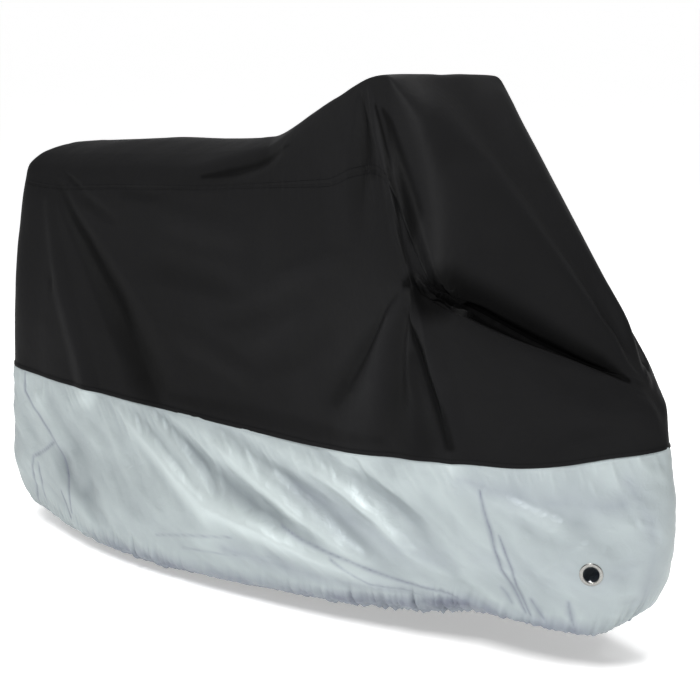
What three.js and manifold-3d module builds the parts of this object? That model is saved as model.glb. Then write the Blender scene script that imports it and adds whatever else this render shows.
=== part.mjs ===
import * as THREE from 'three';
import { mergeVertices } from 'three/addons/utils/BufferGeometryUtils.js';
import Module from 'manifold-3d';

// A two-tone cover as it hangs over a large scooter, bars and screen at the front, seat behind.
// Sizes are millimetres. Forward is +X, the rider's left is +Y and up is +Z.
// Tables give [forward of the top ridge, out from the centre line, up from the ground].
const CLOTH = 2;
const SEAM_GAP = 0.4;
const RIDGE_HEIGHT = 1431;
const HOLD_DROP = 4; // the origin lies this far under the ridge's outer face

// Eyelets of the front band, one on each side
const EYELET = {
  along: 2204, down: 1066, bore: 19.5, neck: 21.7, clothHole: 22.3, rim: 28.5, grip: 0.3,
  collar: 2.1, clinch: 1.2, steps: 24, flatTo: 52, easeTo: 95, cell: 34,
};

// Levels down the cloth: the nominal way from the centre line to each, measured on the cloth
const LEVELS = {
  spine: 0, crown: 120, brow: 180, seam: 250, chest: 420, flank: 620,
  band: 820, skirt: 980, bulge: 1150, tuck: 1280, hem: 1340,
};
const LEVEL_NAMES = Object.keys(LEVELS);
const DOWN = Object.values(LEVELS);
const BAND_SOFTNESS = 0.85;

// Ribs from the rear centre to the nose, each from the spine down to the hem.
// at is the nominal way along the cloth; bend is 1 where the cloth runs smoothly past the rib
// above its flank and less where it creases; soft is the same at crown, brow, seam and chest.
const RIBS = [
  { name: 'rear centre', at: 0, bend: 1, soft: [0.8, 0.9, 0.8, 1], line: [
    [-1392, 0, 1187], [-1438, 0, 1150], [-1450, 0, 1118], [-1456, 0, 1086], [-1484, 0, 900],
    [-1502, 0, 700], [-1514, 0, 525], [-1522, 0, 370], [-1507, 0, 200], [-1447, 0, 100], [-1402, 0, 80]] },
  { name: 'rear corner', at: 200, bend: 1, soft: [0.8, 0.9, 0.8, 1], line: [
    [-1362, 0, 1193], [-1385, 132, 1168], [-1397, 170, 1138], [-1400, 186, 1088], [-1426, 206, 902],
    [-1447, 212, 700], [-1462, 212, 522], [-1474, 220, 370], [-1462, 224, 190], [-1400, 198, 90],
    [-1358, 156, 70]] },
  { name: 'rear side', at: 360, bend: 1, soft: [0.8, 0.9, 0.8, 1], line: [
    [-1280, 0, 1200], [-1280, 130, 1170], [-1280, 170, 1138], [-1280, 195, 1080], [-1290, 220, 900],
    [-1295, 235, 700], [-1300, 240, 512], [-1300, 255, 360], [-1280, 270, 175], [-1240, 245, 70], [-1210, 200, 50]] },
  { name: 'seat rear', at: 660, bend: 1, soft: [0.8, 0.9, 0.8, 1], line: [
    [-980, 0, 1222], [-980, 130, 1190], [-980, 170, 1158], [-980, 195, 1100], [-980, 215, 910],
    [-990, 235, 700], [-1000, 255, 505], [-990, 285, 350], [-980, 320, 170], [-970, 290, 55], [-960, 240, 30]] },
  { name: 'seat middle', at: 960, bend: 1, soft: [0.8, 0.9, 0.8, 1], line: [
    [-690, 0, 1237], [-690, 125, 1205], [-690, 168, 1175], [-690, 195, 1120], [-690, 210, 920],
    [-695, 230, 700], [-700, 265, 502], [-690, 300, 340], [-680, 335, 170], [-680, 295, 55], [-680, 240, 30]] },
  { name: 'ramp foot', at: 1200, bend: 0.1, soft: [0.8, 0.9, 0.8, 1], line: [
    [-540, 0, 1252], [-490, 120, 1232], [-465, 168, 1195], [-445, 200, 1143], [-430, 225, 930],
    [-425, 245, 710], [-420, 270, 500], [-410, 300, 340], [-410, 325, 180], [-410, 285, 70], [-410, 230, 45]] },
  { name: 'ramp middle', at: 1460, bend: 0.5, soft: [0.6, 0.9, 0.8, 1], line: [
    [-260, 0, 1350], [-250, 165, 1357], [-235, 200, 1268], [-210, 225, 1168], [-155, 285, 950],
    [-140, 285, 710], [-140, 270, 502], [-140, 285, 350], [-140, 300, 190], [-140, 260, 90], [-140, 210, 65]] },
  { name: 'top corner and grip', at: 1720, bend: 0.25, soft: [0.1, 0.9, 0.8, 0.6], line: [
    [0, 0, 1431], [-25, 213, 1436], [-10, 236, 1320], [15, 270, 1200], [175, 400, 979],
    [145, 355, 740], [105, 270, 522], [110, 265, 370], [110, 265, 220], [110, 230, 130], [110, 190, 100]] },
  { name: 'past the grip', at: 1780, bend: 0.9, soft: [0.9, 0.9, 1, 0.6], line: [
    [73, 0, 1343], [67, 205, 1336], [89, 262, 1153], [166, 335, 1008], [202, 383, 962], [190, 345, 740],
    [153, 252, 523], [165, 252, 362], [165, 253, 230], [160, 225, 140], [160, 185, 112]] },
  { name: 'upper slope', at: 1850, bend: 0.9, soft: [0.9, 0.6, 1, 0.5], line: [
    [158, 0, 1242], [147, 180, 1244], [186, 300, 1008], [206, 309, 958], [235, 360, 939], [234, 330, 739],
    [196, 235, 524], [217, 240, 354], [220, 242, 240], [210, 220, 150], [210, 180, 125]] },
  { name: 'middle slope', at: 1980, bend: 1, soft: [0.9, 0.6, 0.85, 0.4], line: [
    [285, 0, 1098], [278, 138, 1097], [284, 248, 936], [282, 238, 893], [326, 290, 876], [355, 270, 710],
    [330, 200, 527], [347, 210, 349], [350, 212, 230], [350, 200, 140], [350, 165, 130]] },
  { name: 'lower slope', at: 2120, bend: 1, soft: [0.9, 0.7, 0.7, 0.35], line: [
    [402, 0, 955], [405, 92, 956], [387, 165, 862], [386, 158, 823], [420, 200, 820], [475, 200, 687],
    [440, 155, 542], [456, 170, 350], [460, 170, 220], [460, 160, 130], [460, 135, 120]] },
  { name: 'foot of the slope', at: 2250, bend: 1, soft: [0.9, 0.9, 0.7, 0.5], line: [
    [492, 0, 837], [502, 50, 845], [493, 90, 790], [491, 85, 769], [515, 112, 766], [555, 110, 677],
    [542, 100, 567], [561, 120, 372], [565, 120, 230], [550, 110, 130], [535, 90, 120]] },
  { name: 'nose corner', at: 2340, bend: 1, soft: [1, 0.9, 0.9, 0.8], line: [
    [535, 0, 780], [540, 28, 779], [544, 36, 764], [550, 42, 752], [565, 52, 728], [600, 52, 675],
    [614, 50, 580], [636, 60, 420], [632, 60, 270], [598, 50, 170], [570, 40, 145]] },
  { name: 'nose centre', at: 2420, bend: 1, soft: [1, 0.9, 1, 1], line: [
    [550, 0, 762], [555, 0, 755], [562, 0, 748], [570, 0, 736], [584, 0, 712], [620, 0, 660], [640, 0, 585],
    [660, 0, 435], [652, 0, 285], [614, 0, 180], [580, 0, 150]] },
];

// Where the left side hangs otherwise than the right: its line from the top corner to the grip is taut
const LEFT_CHANGES = [
  { rib: 'ramp middle', crown: [-250, 160, 1340], brow: [-235, 195, 1255] },
  { rib: 'top corner and grip',
    crown: [3, 225, 1415], brow: [25, 262, 1315], seam: [70, 305, 1190], chest: [165, 395, 980] },
  { rib: 'past the grip', crown: [67, 208, 1336], seam: [150, 325, 1020], chest: [185, 372, 965] },
  { rib: 'upper slope', crown: [147, 180, 1248], chest: [230, 355, 939] },
  { rib: 'middle slope', chest: [312, 280, 876] },
  { rib: 'foot of the slope', crown: [502, 50, 853] },
];

// Main folds. Each path point is [along, down, depth, half width], depth outwards; sharp 1 is a
// cusp and 0 a soft swell; lean widens the flank on one side of the path.
const FOLDS_RIGHT = [
  { name: 'rear drape', sharp: 0.5, lean: 1.7, path: [
    [400, 250, -6, 20], [520, 390, -22, 36], [660, 570, -32, 60], [790, 730, -20, 80], [880, 810, -6, 80],
    [950, 900, 0, 60]] },
  { name: 'beside the rear drape', sharp: 0.2, lean: 1, path: [
    [360, 290, 4, 30], [450, 540, 10, 45], [570, 830, 12, 60]] },
  { name: 'seat end', sharp: 0.2, lean: 1, path: [
    [1280, 160, 0, 40], [1170, 170, -16, 60], [1020, 210, -14, 55], [900, 230, 0, 30]] },
  { name: 'behind the top corner', sharp: 0.4, lean: 1, path: [
    [1620, 140, -4, 14], [1620, 180, -16, 30], [1620, 230, -20, 48], [1600, 310, -6, 60], [1580, 370, 0, 60]] },
  { name: 'top corner to grip', sharp: 0.6, lean: 1, path: [
    [1660, 140, 3, 14], [1680, 200, 9, 24], [1720, 250, 10, 26], [1740, 300, 9, 28], [1720, 390, 4, 20]] },
  { name: 'grip, rear fold', sharp: 0.3, lean: 1.6, path: [
    [1700, 430, 3, 20], [1660, 480, 14, 38], [1600, 620, 20, 60], [1510, 760, 10, 75], [1490, 880, 0, 60]] },
  { name: 'grip, hollow', sharp: 0.2, lean: 1, path: [
    [1710, 450, -4, 14], [1680, 530, -16, 36], [1670, 660, -22, 60], [1640, 770, -10, 70], [1640, 890, 0, 60]] },
  { name: 'grip, front fold', sharp: 0.7, lean: 1, path: [
    [1730, 430, 4, 16], [1770, 500, 16, 34], [1820, 620, 22, 50], [1840, 780, 12, 60], [1840, 890, 0, 50]] },
  { name: 'skirt, long fold', sharp: 0.5, lean: 1, path: [
    [660, 830, 3, 20], [860, 930, 13, 42], [1080, 1050, 19, 58], [1230, 1080, 18, 58], [1520, 1160, 9, 50],
    [1660, 1210, 0, 40]] },
  { name: 'skirt, first hollow', sharp: 0.2, lean: 1, path: [
    [840, 820, -2, 20], [1040, 930, -12, 45], [1200, 1010, -13, 50], [1400, 1080, -8, 45], [1580, 1150, 0, 40]] },
  { name: 'skirt, second fold', sharp: 0.3, lean: 1, path: [
    [960, 820, 2, 18], [1150, 910, 10, 36], [1330, 1010, 12, 40], [1500, 1090, 6, 36], [1640, 1140, 0, 30]] },
  { name: 'skirt, second hollow', sharp: 0.3, lean: 1, path: [
    [1080, 820, -2, 18], [1290, 910, -10, 34], [1470, 1010, -11, 38], [1640, 1120, -4, 36], [1750, 1200, 0, 30]] },
  { name: 'skirt, third fold', sharp: 0.3, lean: 1, path: [
    [1220, 820, 2, 18], [1410, 890, 9, 32], [1590, 990, 11, 38], [1750, 1120, 5, 36], [1830, 1220, 0, 30]] },
  { name: 'skirt, third hollow', sharp: 0.3, lean: 1, path: [
    [1380, 820, -2, 16], [1550, 900, -8, 30], [1710, 1000, -9, 34], [1830, 1130, -4, 30]] },
  { name: 'front band, fold', sharp: 0.3, lean: 1, path: [
    [1910, 860, 2, 18], [2000, 910, 9, 30], [2110, 950, 6, 32], [2150, 960, 0, 28]] },
  { name: 'rear skirt swell', sharp: 0.1, lean: 1, path: [
    [350, 900, 4, 40], [460, 1000, 10, 50], [570, 1080, 8, 50]] },
];
const FOLDS_LEFT = [
  { name: 'rear drape', sharp: 0.4, lean: 1.5, path: [
    [380, 250, -5, 20], [470, 400, -18, 40], [590, 600, -26, 62], [680, 760, -14, 70], [740, 880, 0, 60]] },
  { name: 'second rear drape', sharp: 0.3, lean: 1, path: [
    [430, 250, 3, 20], [620, 380, 10, 40], [820, 540, 14, 60], [1000, 700, 6, 60], [1100, 800, 0, 50]] },
  { name: 'seat end', sharp: 0.2, lean: 1, path: [
    [1260, 150, 0, 40], [1150, 190, -12, 55], [1000, 230, -10, 50], [880, 260, 0, 40]] },
  { name: 'behind the top corner', sharp: 0.4, lean: 1, path: [
    [1630, 140, -4, 14], [1610, 200, -15, 34], [1600, 280, -12, 50], [1570, 380, 0, 60]] },
  { name: 'grip, rear fold', sharp: 0.3, lean: 1.4, path: [
    [1700, 430, 3, 20], [1640, 520, 14, 42], [1550, 660, 18, 62], [1450, 790, 8, 70], [1400, 890, 0, 60]] },
  { name: 'grip, hollow', sharp: 0.2, lean: 1, path: [
    [1715, 440, -4, 14], [1700, 540, -14, 36], [1690, 680, -18, 56], [1680, 790, -8, 60], [1680, 890, 0, 50]] },
  { name: 'grip, front fold', sharp: 0.6, lean: 1, path: [
    [1735, 440, 4, 16], [1800, 540, 14, 36], [1870, 680, 16, 48], [1900, 790, 8, 50], [1910, 870, 0, 40]] },
  { name: 'skirt, long fold', sharp: 0.4, lean: 1, path: [
    [560, 830, 3, 20], [760, 940, 12, 42], [960, 1040, 17, 56], [1180, 1100, 12, 54], [1380, 1170, 0, 40]] },
  { name: 'skirt, first hollow', sharp: 0.2, lean: 1, path: [
    [760, 820, -2, 20], [960, 920, -11, 44], [1160, 1010, -12, 48], [1380, 1090, 0, 40]] },
  { name: 'skirt, second fold', sharp: 0.3, lean: 1, path: [
    [1000, 820, 2, 18], [1190, 920, 11, 38], [1360, 1030, 10, 42], [1500, 1140, 0, 34]] },
  { name: 'skirt, second hollow', sharp: 0.3, lean: 1, path: [
    [1180, 820, -2, 18], [1360, 920, -10, 36], [1530, 1040, -9, 40], [1650, 1160, 0, 30]] },
  { name: 'skirt, third fold', sharp: 0.3, lean: 1, path: [
    [1360, 820, 2, 18], [1530, 910, 10, 34], [1690, 1030, 9, 40], [1800, 1170, 0, 30]] },
  { name: 'front band, fold', sharp: 0.3, lean: 1, path: [
    [1900, 880, 2, 18], [1990, 940, 8, 30], [2090, 970, 5, 32], [2140, 985, 0, 28]] },
];
const PATH_STEPS = 5; // points that a fold's path gets between two of its own

const RIGHT = -1;
const LEFT = 1;
const AT = RIBS.map((rib) => rib.at);
const LAST_AT = AT.at(-1);
const LAST_DOWN = DOWN.at(-1);

const mirrored = (p) => new THREE.Vector3(p.x, -p.y, p.z);
const smooth = (x) => x * x * (3 - 2 * x);
const clamp01 = (x) => Math.min(1, Math.max(0, x));

function ribLines(side) {
  return RIBS.map((rib) => {
    const changes = side === LEFT ? LEFT_CHANGES.find((row) => row.rib === rib.name) ?? {} : {};
    return rib.line.map((point, k) => new THREE.Vector3(...(changes[LEVEL_NAMES[k]] ?? point)));
  });
}
const LINES = { [RIGHT]: ribLines(RIGHT), [LEFT]: ribLines(LEFT) };

// A cubic curve through points at unevenly spaced knots. At a knot of softness 1 it takes the
// slope of both neighbours, at 0 it runs straight at the next point. before and after stand in
// for the points past its ends.
function curve(knots, points, softness, before, after, u) {
  const last = knots.length - 1;
  let k = 0;
  while (k < last - 1 && u > knots[k + 1]) k += 1;
  const knot = (n) => (n < 0 ? 2 * knots[0] - knots[1] : n > last ? 2 * knots[last] - knots[last - 1] : knots[n]);
  const point = (n) => (n < 0 ? before : n > last ? after : points[n]);
  const rate = (a, b) => point(b).clone().sub(point(a)).divideScalar(knot(b) - knot(a));
  const span = knots[k + 1] - knots[k];
  const slope = (n) => {
    const back = knot(n) - knot(n - 1);
    const ahead = knot(n + 1) - knot(n);
    const both = rate(n - 1, n).multiplyScalar(ahead).add(rate(n, n + 1).multiplyScalar(back));
    return rate(k, k + 1).lerp(both.divideScalar(back + ahead), softness[n]).multiplyScalar(span);
  };
  const f = (u - knots[k]) / span;
  return points[k].clone().multiplyScalar(2 * f ** 3 - 3 * f ** 2 + 1)
    .addScaledVector(slope(k), f ** 3 - 2 * f ** 2 + f)
    .addScaledVector(points[k + 1], 3 * f ** 2 - 2 * f ** 3)
    .addScaledVector(slope(k + 1), f ** 3 - f ** 2);
}

// The taut cloth without folds, along and down in nominal millimetres
function taut(side, along, down) {
  const under = smooth(clamp01((down - LEVELS.chest) / (LEVELS.band - LEVELS.chest)));
  const across = LINES[side].map((line, k) => {
    const softness = [1, ...RIBS[k].soft, 1, BAND_SOFTNESS, 1, 1, 1, 1];
    const past = line.at(-1).clone().multiplyScalar(2).sub(line.at(-2));
    return curve(DOWN, line, softness, mirrored(line[1]), past, down);
  });
  const bends = RIBS.map((rib) => rib.bend * (1 - under) + under);
  const point = curve(AT, across, bends, mirrored(across[1]), mirrored(across.at(-2)), along);
  return new THREE.Vector3(point.x, side * point.y, point.z);
}

// The outward direction of the taut cloth, from four points close by
function outward(side, along, down) {
  const step = 3;
  const a = Math.min(LAST_AT - step, Math.max(step, along));
  const d = Math.min(LAST_DOWN - step, Math.max(step, down));
  const ahead = taut(side, a + step, d).sub(taut(side, a - step, d));
  const below = taut(side, a, d + step).sub(taut(side, a, d - step));
  const normal = ahead.cross(below).multiplyScalar(side);
  if (along === 0 || along === LAST_AT || down === 0) normal.y = 0;
  return normal.normalize();
}

function foldLine(side, fold) {
  const line = [];
  fold.path.forEach((from, k) => {
    const to = fold.path[k + 1];
    const steps = to ? PATH_STEPS : 1;
    for (let n = 0; n < steps; n += 1) {
      const [along, down, depth, width] = from.map((v, c) => v + ((to ?? from)[c] - v) * (n / steps));
      line.push({ point: taut(side, along, down), depth, width });
    }
  });
  return { ...fold, line };
}
const FOLD_LINES = {
  [RIGHT]: FOLDS_RIGHT.map((fold) => foldLine(RIGHT, fold)),
  [LEFT]: FOLDS_LEFT.map((fold) => foldLine(LEFT, fold)),
};

// How far one fold lifts the cloth at a point: its depth there, easing to none over its half width
function lift(fold, point, normal) {
  let nearest = Infinity;
  let height = 0;
  for (let k = 0; k < fold.line.length - 1; k += 1) {
    const [a, b] = [fold.line[k], fold.line[k + 1]];
    const run = b.point.clone().sub(a.point);
    const from = point.clone().sub(a.point);
    const part = clamp01(from.dot(run) / run.lengthSq());
    from.addScaledVector(run, -part).addScaledVector(normal, -from.dot(normal));
    const away = from.length();
    if (away >= nearest) continue;
    nearest = away;
    const beside = normal.clone().cross(run).dot(from) > 0 ? fold.lean : 1;
    const q = Math.min(1, away / ((a.width + (b.width - a.width) * part) * beside));
    const swell = (1 - fold.sharp) * (1 - q * q) ** 2 + fold.sharp * (1 - q) ** 2;
    height = (a.depth + (b.depth - a.depth) * part) * swell;
  }
  return height;
}

function folded(side, along, down) {
  const point = taut(side, along, down);
  const normal = outward(side, along, down);
  const height = FOLD_LINES[side].reduce((sum, fold) => sum + lift(fold, point, normal), 0);
  return point.addScaledVector(normal, height);
}

// Each eyelet lies in a plane that touches the folded cloth, and the cloth around it is flat
function eyeletPlane(side) {
  const at = (along, down) => folded(side, EYELET.along + along, EYELET.down + down);
  const ahead = at(EYELET.cell, 0).sub(at(-EYELET.cell, 0));
  const below = at(0, EYELET.cell).sub(at(0, -EYELET.cell));
  return { centre: at(0, 0), normal: ahead.cross(below).multiplyScalar(side).normalize() };
}
const EYELET_PLANES = { [RIGHT]: eyeletPlane(RIGHT), [LEFT]: eyeletPlane(LEFT) };

// Grid lines of the faceted cloth, closer at the bars and the front, with two beside each eyelet
function spaced(from, to, step) {
  const count = Math.round((to - from) / step);
  return Array.from({ length: count }, (_, k) => from + ((to - from) * k) / count);
}
const ALONG_LINES = [
  0, 100, 200, 280, ...spaced(360, 1620, 60), ...spaced(1620, 1720, 33), 1720, 1750, 1780, 1815,
  ...spaced(1850, EYELET.along - EYELET.cell, 46), EYELET.along - EYELET.cell, EYELET.along,
  EYELET.along + EYELET.cell, 2285, 2340, 2380, LAST_AT,
];
const DOWN_LINES = [
  0, 60, 120, 180, 215, ...spaced(250, 420, 42), ...spaced(420, 820, 57), ...spaced(820, 980, 53),
  980, EYELET.down - EYELET.cell, EYELET.down, EYELET.down + EYELET.cell, 1150, 1195, 1240, 1280, 1310, LAST_DOWN,
];

const cloth = { points: [], normals: [], flats: [], ids: new Map() };
function vertex(side, i, j) {
  const shared = j === 0 || i === 0 || i === ALONG_LINES.length - 1;
  const key = `${shared ? 0 : side}:${i}:${j}`;
  if (!cloth.ids.has(key)) {
    const point = folded(side, ALONG_LINES[i], DOWN_LINES[j]);
    const { centre, normal } = EYELET_PLANES[side];
    const away = (point.distanceTo(centre) - EYELET.flatTo) / (EYELET.easeTo - EYELET.flatTo);
    const flat = 1 - smooth(clamp01(away));
    point.addScaledVector(normal, -point.clone().sub(centre).dot(normal) * flat);
    cloth.ids.set(key, cloth.points.length);
    cloth.points.push(point);
    cloth.flats.push(flat === 1 ? normal : null);
    cloth.normals.push(new THREE.Vector3());
  }
  return cloth.ids.get(key);
}

// The cloth's grid cells, each as two triangles across its shorter diagonal
function cellTriangles(side, i, j) {
  const [a, b, c, d] = [vertex(side, i, j), vertex(side, i, j + 1), vertex(side, i + 1, j + 1), vertex(side, i + 1, j)];
  const gap = (p, q) => cloth.points[p].distanceTo(cloth.points[q]);
  const pair = gap(a, c) < gap(b, d) ? [[a, b, c], [a, c, d]] : [[a, b, d], [b, c, d]];
  return side === RIGHT ? pair : pair.map(([p, q, r]) => [p, r, q]);
}
const cells = [];
for (const side of [RIGHT, LEFT]) {
  for (let i = 0; i < ALONG_LINES.length - 1; i += 1) {
    for (let j = 0; j < DOWN_LINES.length - 1; j += 1) {
      cells.push({ side, along: ALONG_LINES[i], down: DOWN_LINES[j], triangles: cellTriangles(side, i, j) });
    }
  }
}
for (const { triangles } of cells) {
  for (const triangle of triangles) {
    for (let k = 0; k < 3; k += 1) {
      const [p, q, r] = [0, 1, 2].map((n) => triangle[(k + n) % 3]);
      const next = cloth.points[q].clone().sub(cloth.points[p]);
      const other = cloth.points[r].clone().sub(cloth.points[p]);
      const corner = next.angleTo(other);
      cloth.normals[p].addScaledVector(next.cross(other).normalize(), corner);
    }
  }
}
cloth.normals.forEach((normal, id) => (cloth.flats[id] ? normal.copy(cloth.flats[id]) : normal.normalize()));

// One sewn piece: its cells given the cloth's thickness, its edge drawn in by half the seam gap
function piece(name, color, roughness, inPiece) {
  const triangles = cells.filter(inPiece).flatMap((cell) => cell.triangles);
  const edges = new Map();
  for (const [p, q, r] of triangles) {
    [[p, q, r], [q, r, p], [r, p, q]].forEach(([a, b, c]) => {
      if (!edges.delete(`${b}:${a}`)) edges.set(`${a}:${b}`, [a, b, c]);
    });
  }
  const inwards = new Map();
  for (const [a, b, c] of edges.values()) {
    const run = cloth.points[b].clone().sub(cloth.points[a]).normalize();
    const into = cloth.points[c].clone().sub(cloth.points[a]);
    into.addScaledVector(run, -into.dot(run)).normalize();
    [a, b].forEach((id) => inwards.set(id, [...(inwards.get(id) ?? []), into]));
  }
  const drawnIn = (id) => {
    const point = cloth.points[id].clone();
    const pair = inwards.get(id);
    if (!pair) return point;
    const sum = pair.reduce((total, v) => total.add(v), new THREE.Vector3());
    return point.addScaledVector(sum, SEAM_GAP / 2 / Math.max(0.5, 1 + pair[0].dot(pair.at(-1))));
  };
  const used = [...new Set(triangles.flat())];
  const place = new Map(used.map((id, k) => [id, k]));
  const outer = used.map(drawnIn);
  const inner = used.map((id, k) => outer[k].clone().addScaledVector(cloth.normals[id], -CLOTH));
  const under = used.length;
  const faces = triangles.flatMap(([p, q, r]) => {
    const [a, b, c] = [place.get(p), place.get(q), place.get(r)];
    return [a, b, c, a + under, c + under, b + under];
  });
  // Both pieces at a seam split its wall along the same diagonal, so the gap stays even
  for (const [p, q] of edges.values()) {
    const [a, b] = [place.get(p), place.get(q)];
    const wall = p < q ? [a, a + under, b, b, a + under, b + under] : [a, a + under, b + under, a, b + under, b];
    faces.push(...wall);
  }
  const geometry = new THREE.BufferGeometry();
  const numbers = [...outer, ...inner].flatMap((v) => [v.x, v.y, v.z - RIDGE_HEIGHT + HOLD_DROP]);
  geometry.setAttribute('position', new THREE.Float32BufferAttribute(numbers, 3));
  geometry.setIndex(faces);
  const mesh = new THREE.Mesh(geometry, new THREE.MeshStandardMaterial({ color, roughness, metalness: 0 }));
  mesh.name = name;
  return mesh;
}

const wasm = await Module();
wasm.setup();
function toSolid(geometry) {
  const bare = geometry.clone();
  bare.deleteAttribute('normal');
  bare.deleteAttribute('uv');
  const merged = mergeVertices(bare, 1e-4);
  return new wasm.Manifold(new wasm.Mesh({
    numProp: 3,
    vertProperties: Float32Array.from(merged.attributes.position.array),
    triVerts: Uint32Array.from(merged.index.array),
  }));
}
function toGeometry(solid) {
  const { vertProperties, triVerts } = solid.getMesh();
  const geometry = new THREE.BufferGeometry();
  geometry.setAttribute('position', new THREE.Float32BufferAttribute(vertProperties, 3));
  geometry.setIndex(Array.from(triVerts));
  return geometry;
}

// Places of the eyelets in the part's own frame; an eyelet's axis is its +Y before it is turned
function eyeletPlace(side) {
  const { centre, normal } = EYELET_PLANES[side];
  const turn = new THREE.Quaternion().setFromUnitVectors(new THREE.Vector3(0, 1, 0), normal);
  const at = centre.clone();
  at.z += HOLD_DROP - RIDGE_HEIGHT;
  return { at, turn };
}

function punched(mesh) {
  let solid = toSolid(mesh.geometry);
  for (const side of [RIGHT, LEFT]) {
    const { at, turn } = eyeletPlace(side);
    const punch = new THREE.CylinderGeometry(EYELET.clothHole, EYELET.clothHole, 8 * CLOTH, EYELET.steps);
    punch.applyQuaternion(turn).translate(at.x, at.y, at.z);
    solid = solid.subtract(toSolid(punch));
  }
  mesh.geometry = toGeometry(solid);
  return mesh;
}

// A two-part eyelet closed over the cloth: collar outside, neck through it and clinched washer inside
function eyelet(name, side) {
  const { bore, neck, rim, grip, collar, clinch, steps } = EYELET;
  const face = grip + collar;
  const back = -CLOTH - grip;
  const profile = [
    [bore, face - 1], [bore, back - clinch + 0.3], [bore + 1.5, back - clinch - 0.5], [rim - 2.5, back - clinch],
    [rim - 1.5, back - clinch + 0.4], [rim - 1.5, back], [neck, back], [neck, grip],
    [rim - 0.3, grip], [rim, grip + 0.5], [rim - 0.8, face - 0.7], [rim - 3, face], [bore + 1.2, face],
    [bore, face - 1],
  ].map(([radius, height]) => new THREE.Vector2(radius, height));
  const steel = new THREE.MeshStandardMaterial({ color: '#b9bcc0', roughness: 0.3, metalness: 1 });
  const ring = new THREE.Mesh(new THREE.LatheGeometry(profile, steps), steel);
  const { at, turn } = eyeletPlace(side);
  ring.position.copy(at);
  ring.quaternion.copy(turn);
  ring.name = name;
  return ring;
}

// Where the pieces are cut: the strip covers the rear face, the top, the slope and the nose
const STRIP_REAR = 200;
const STRIP_NOSE = 2340;
const FRONT_BAND = 1928;
const frontBandLine = ALONG_LINES.reduce((best, v) => (Math.abs(v - FRONT_BAND) < Math.abs(best - FRONT_BAND) ? v : best));
const isBand = (cell) => cell.down >= LEVELS.band;
const isStrip = (cell) => !isBand(cell)
  && (cell.down < LEVELS.seam || cell.along < STRIP_REAR || cell.along >= STRIP_NOSE);
const isFrontBand = (cell) => isBand(cell) && cell.along >= frontBandLine;

const BLACK = '#1c1c1e';
const SILVER = '#aeb6b9';
const group = new THREE.Group();
group.add(
  piece('centre_panel', BLACK, 0.6, isStrip),
  piece('side_panel_right', BLACK, 0.6, (cell) => cell.side === RIGHT && !isStrip(cell) && !isBand(cell)),
  piece('side_panel_left', BLACK, 0.6, (cell) => cell.side === LEFT && !isStrip(cell) && !isBand(cell)),
  piece('skirt_right', SILVER, 0.45, (cell) => cell.side === RIGHT && isBand(cell) && !isFrontBand(cell)),
  piece('skirt_left', SILVER, 0.45, (cell) => cell.side === LEFT && isBand(cell) && !isFrontBand(cell)),
  punched(piece('skirt_front', SILVER, 0.45, isFrontBand)),
  eyelet('eyelet_right', RIGHT),
  eyelet('eyelet_left', LEFT),
);

export default group;
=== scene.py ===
"""A two-tone rain cover as it hangs over a large scooter: black upper, silver band, two eyelets."""

import functools
import math

import bpy
import numpy as np
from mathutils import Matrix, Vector


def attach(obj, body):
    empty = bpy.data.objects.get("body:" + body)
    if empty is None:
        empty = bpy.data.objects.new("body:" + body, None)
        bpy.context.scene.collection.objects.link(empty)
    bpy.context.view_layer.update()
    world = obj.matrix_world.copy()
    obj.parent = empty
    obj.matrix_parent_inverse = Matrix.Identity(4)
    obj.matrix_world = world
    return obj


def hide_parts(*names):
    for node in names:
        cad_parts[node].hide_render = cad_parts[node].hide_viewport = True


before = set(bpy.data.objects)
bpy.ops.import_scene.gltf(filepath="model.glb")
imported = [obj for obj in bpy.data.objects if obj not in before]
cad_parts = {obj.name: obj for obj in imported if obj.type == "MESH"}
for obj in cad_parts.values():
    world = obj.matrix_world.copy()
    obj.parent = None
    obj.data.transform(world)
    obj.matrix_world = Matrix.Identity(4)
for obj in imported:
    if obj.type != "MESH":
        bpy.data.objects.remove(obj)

bl_info = {
    "name": "Draped Motorcycle Cover",
    "version": (1, 0, 0),
    "blender": (4, 5, 0),
    "location": "View3D > Sidebar > Cover",
    "description": "Makes the sheets, seams and eyelets of a draped two-tone motorcycle cover",
    "category": "Add Mesh",
}

BODY = "root"
MM = 0.001
RIGHT = -1.0
LEFT = 1.0
SIDES = (RIGHT, LEFT)

# The cut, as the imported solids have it: millimetres forward of the top ridge, out from the
# centre line and up from the ground. The frame's origin is 4 mm under the ridge's outer face.
ORIGIN_HEIGHT = 1427
LEVELS = {
    "spine": 0, "crown": 120, "brow": 180, "seam": 250, "chest": 420, "flank": 620,
    "band": 820, "skirt": 980, "bulge": 1150, "tuck": 1280, "hem": 1340,
}
DOWN = np.array(list(LEVELS.values()), float)
BAND_SOFTNESS = 0.85

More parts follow.
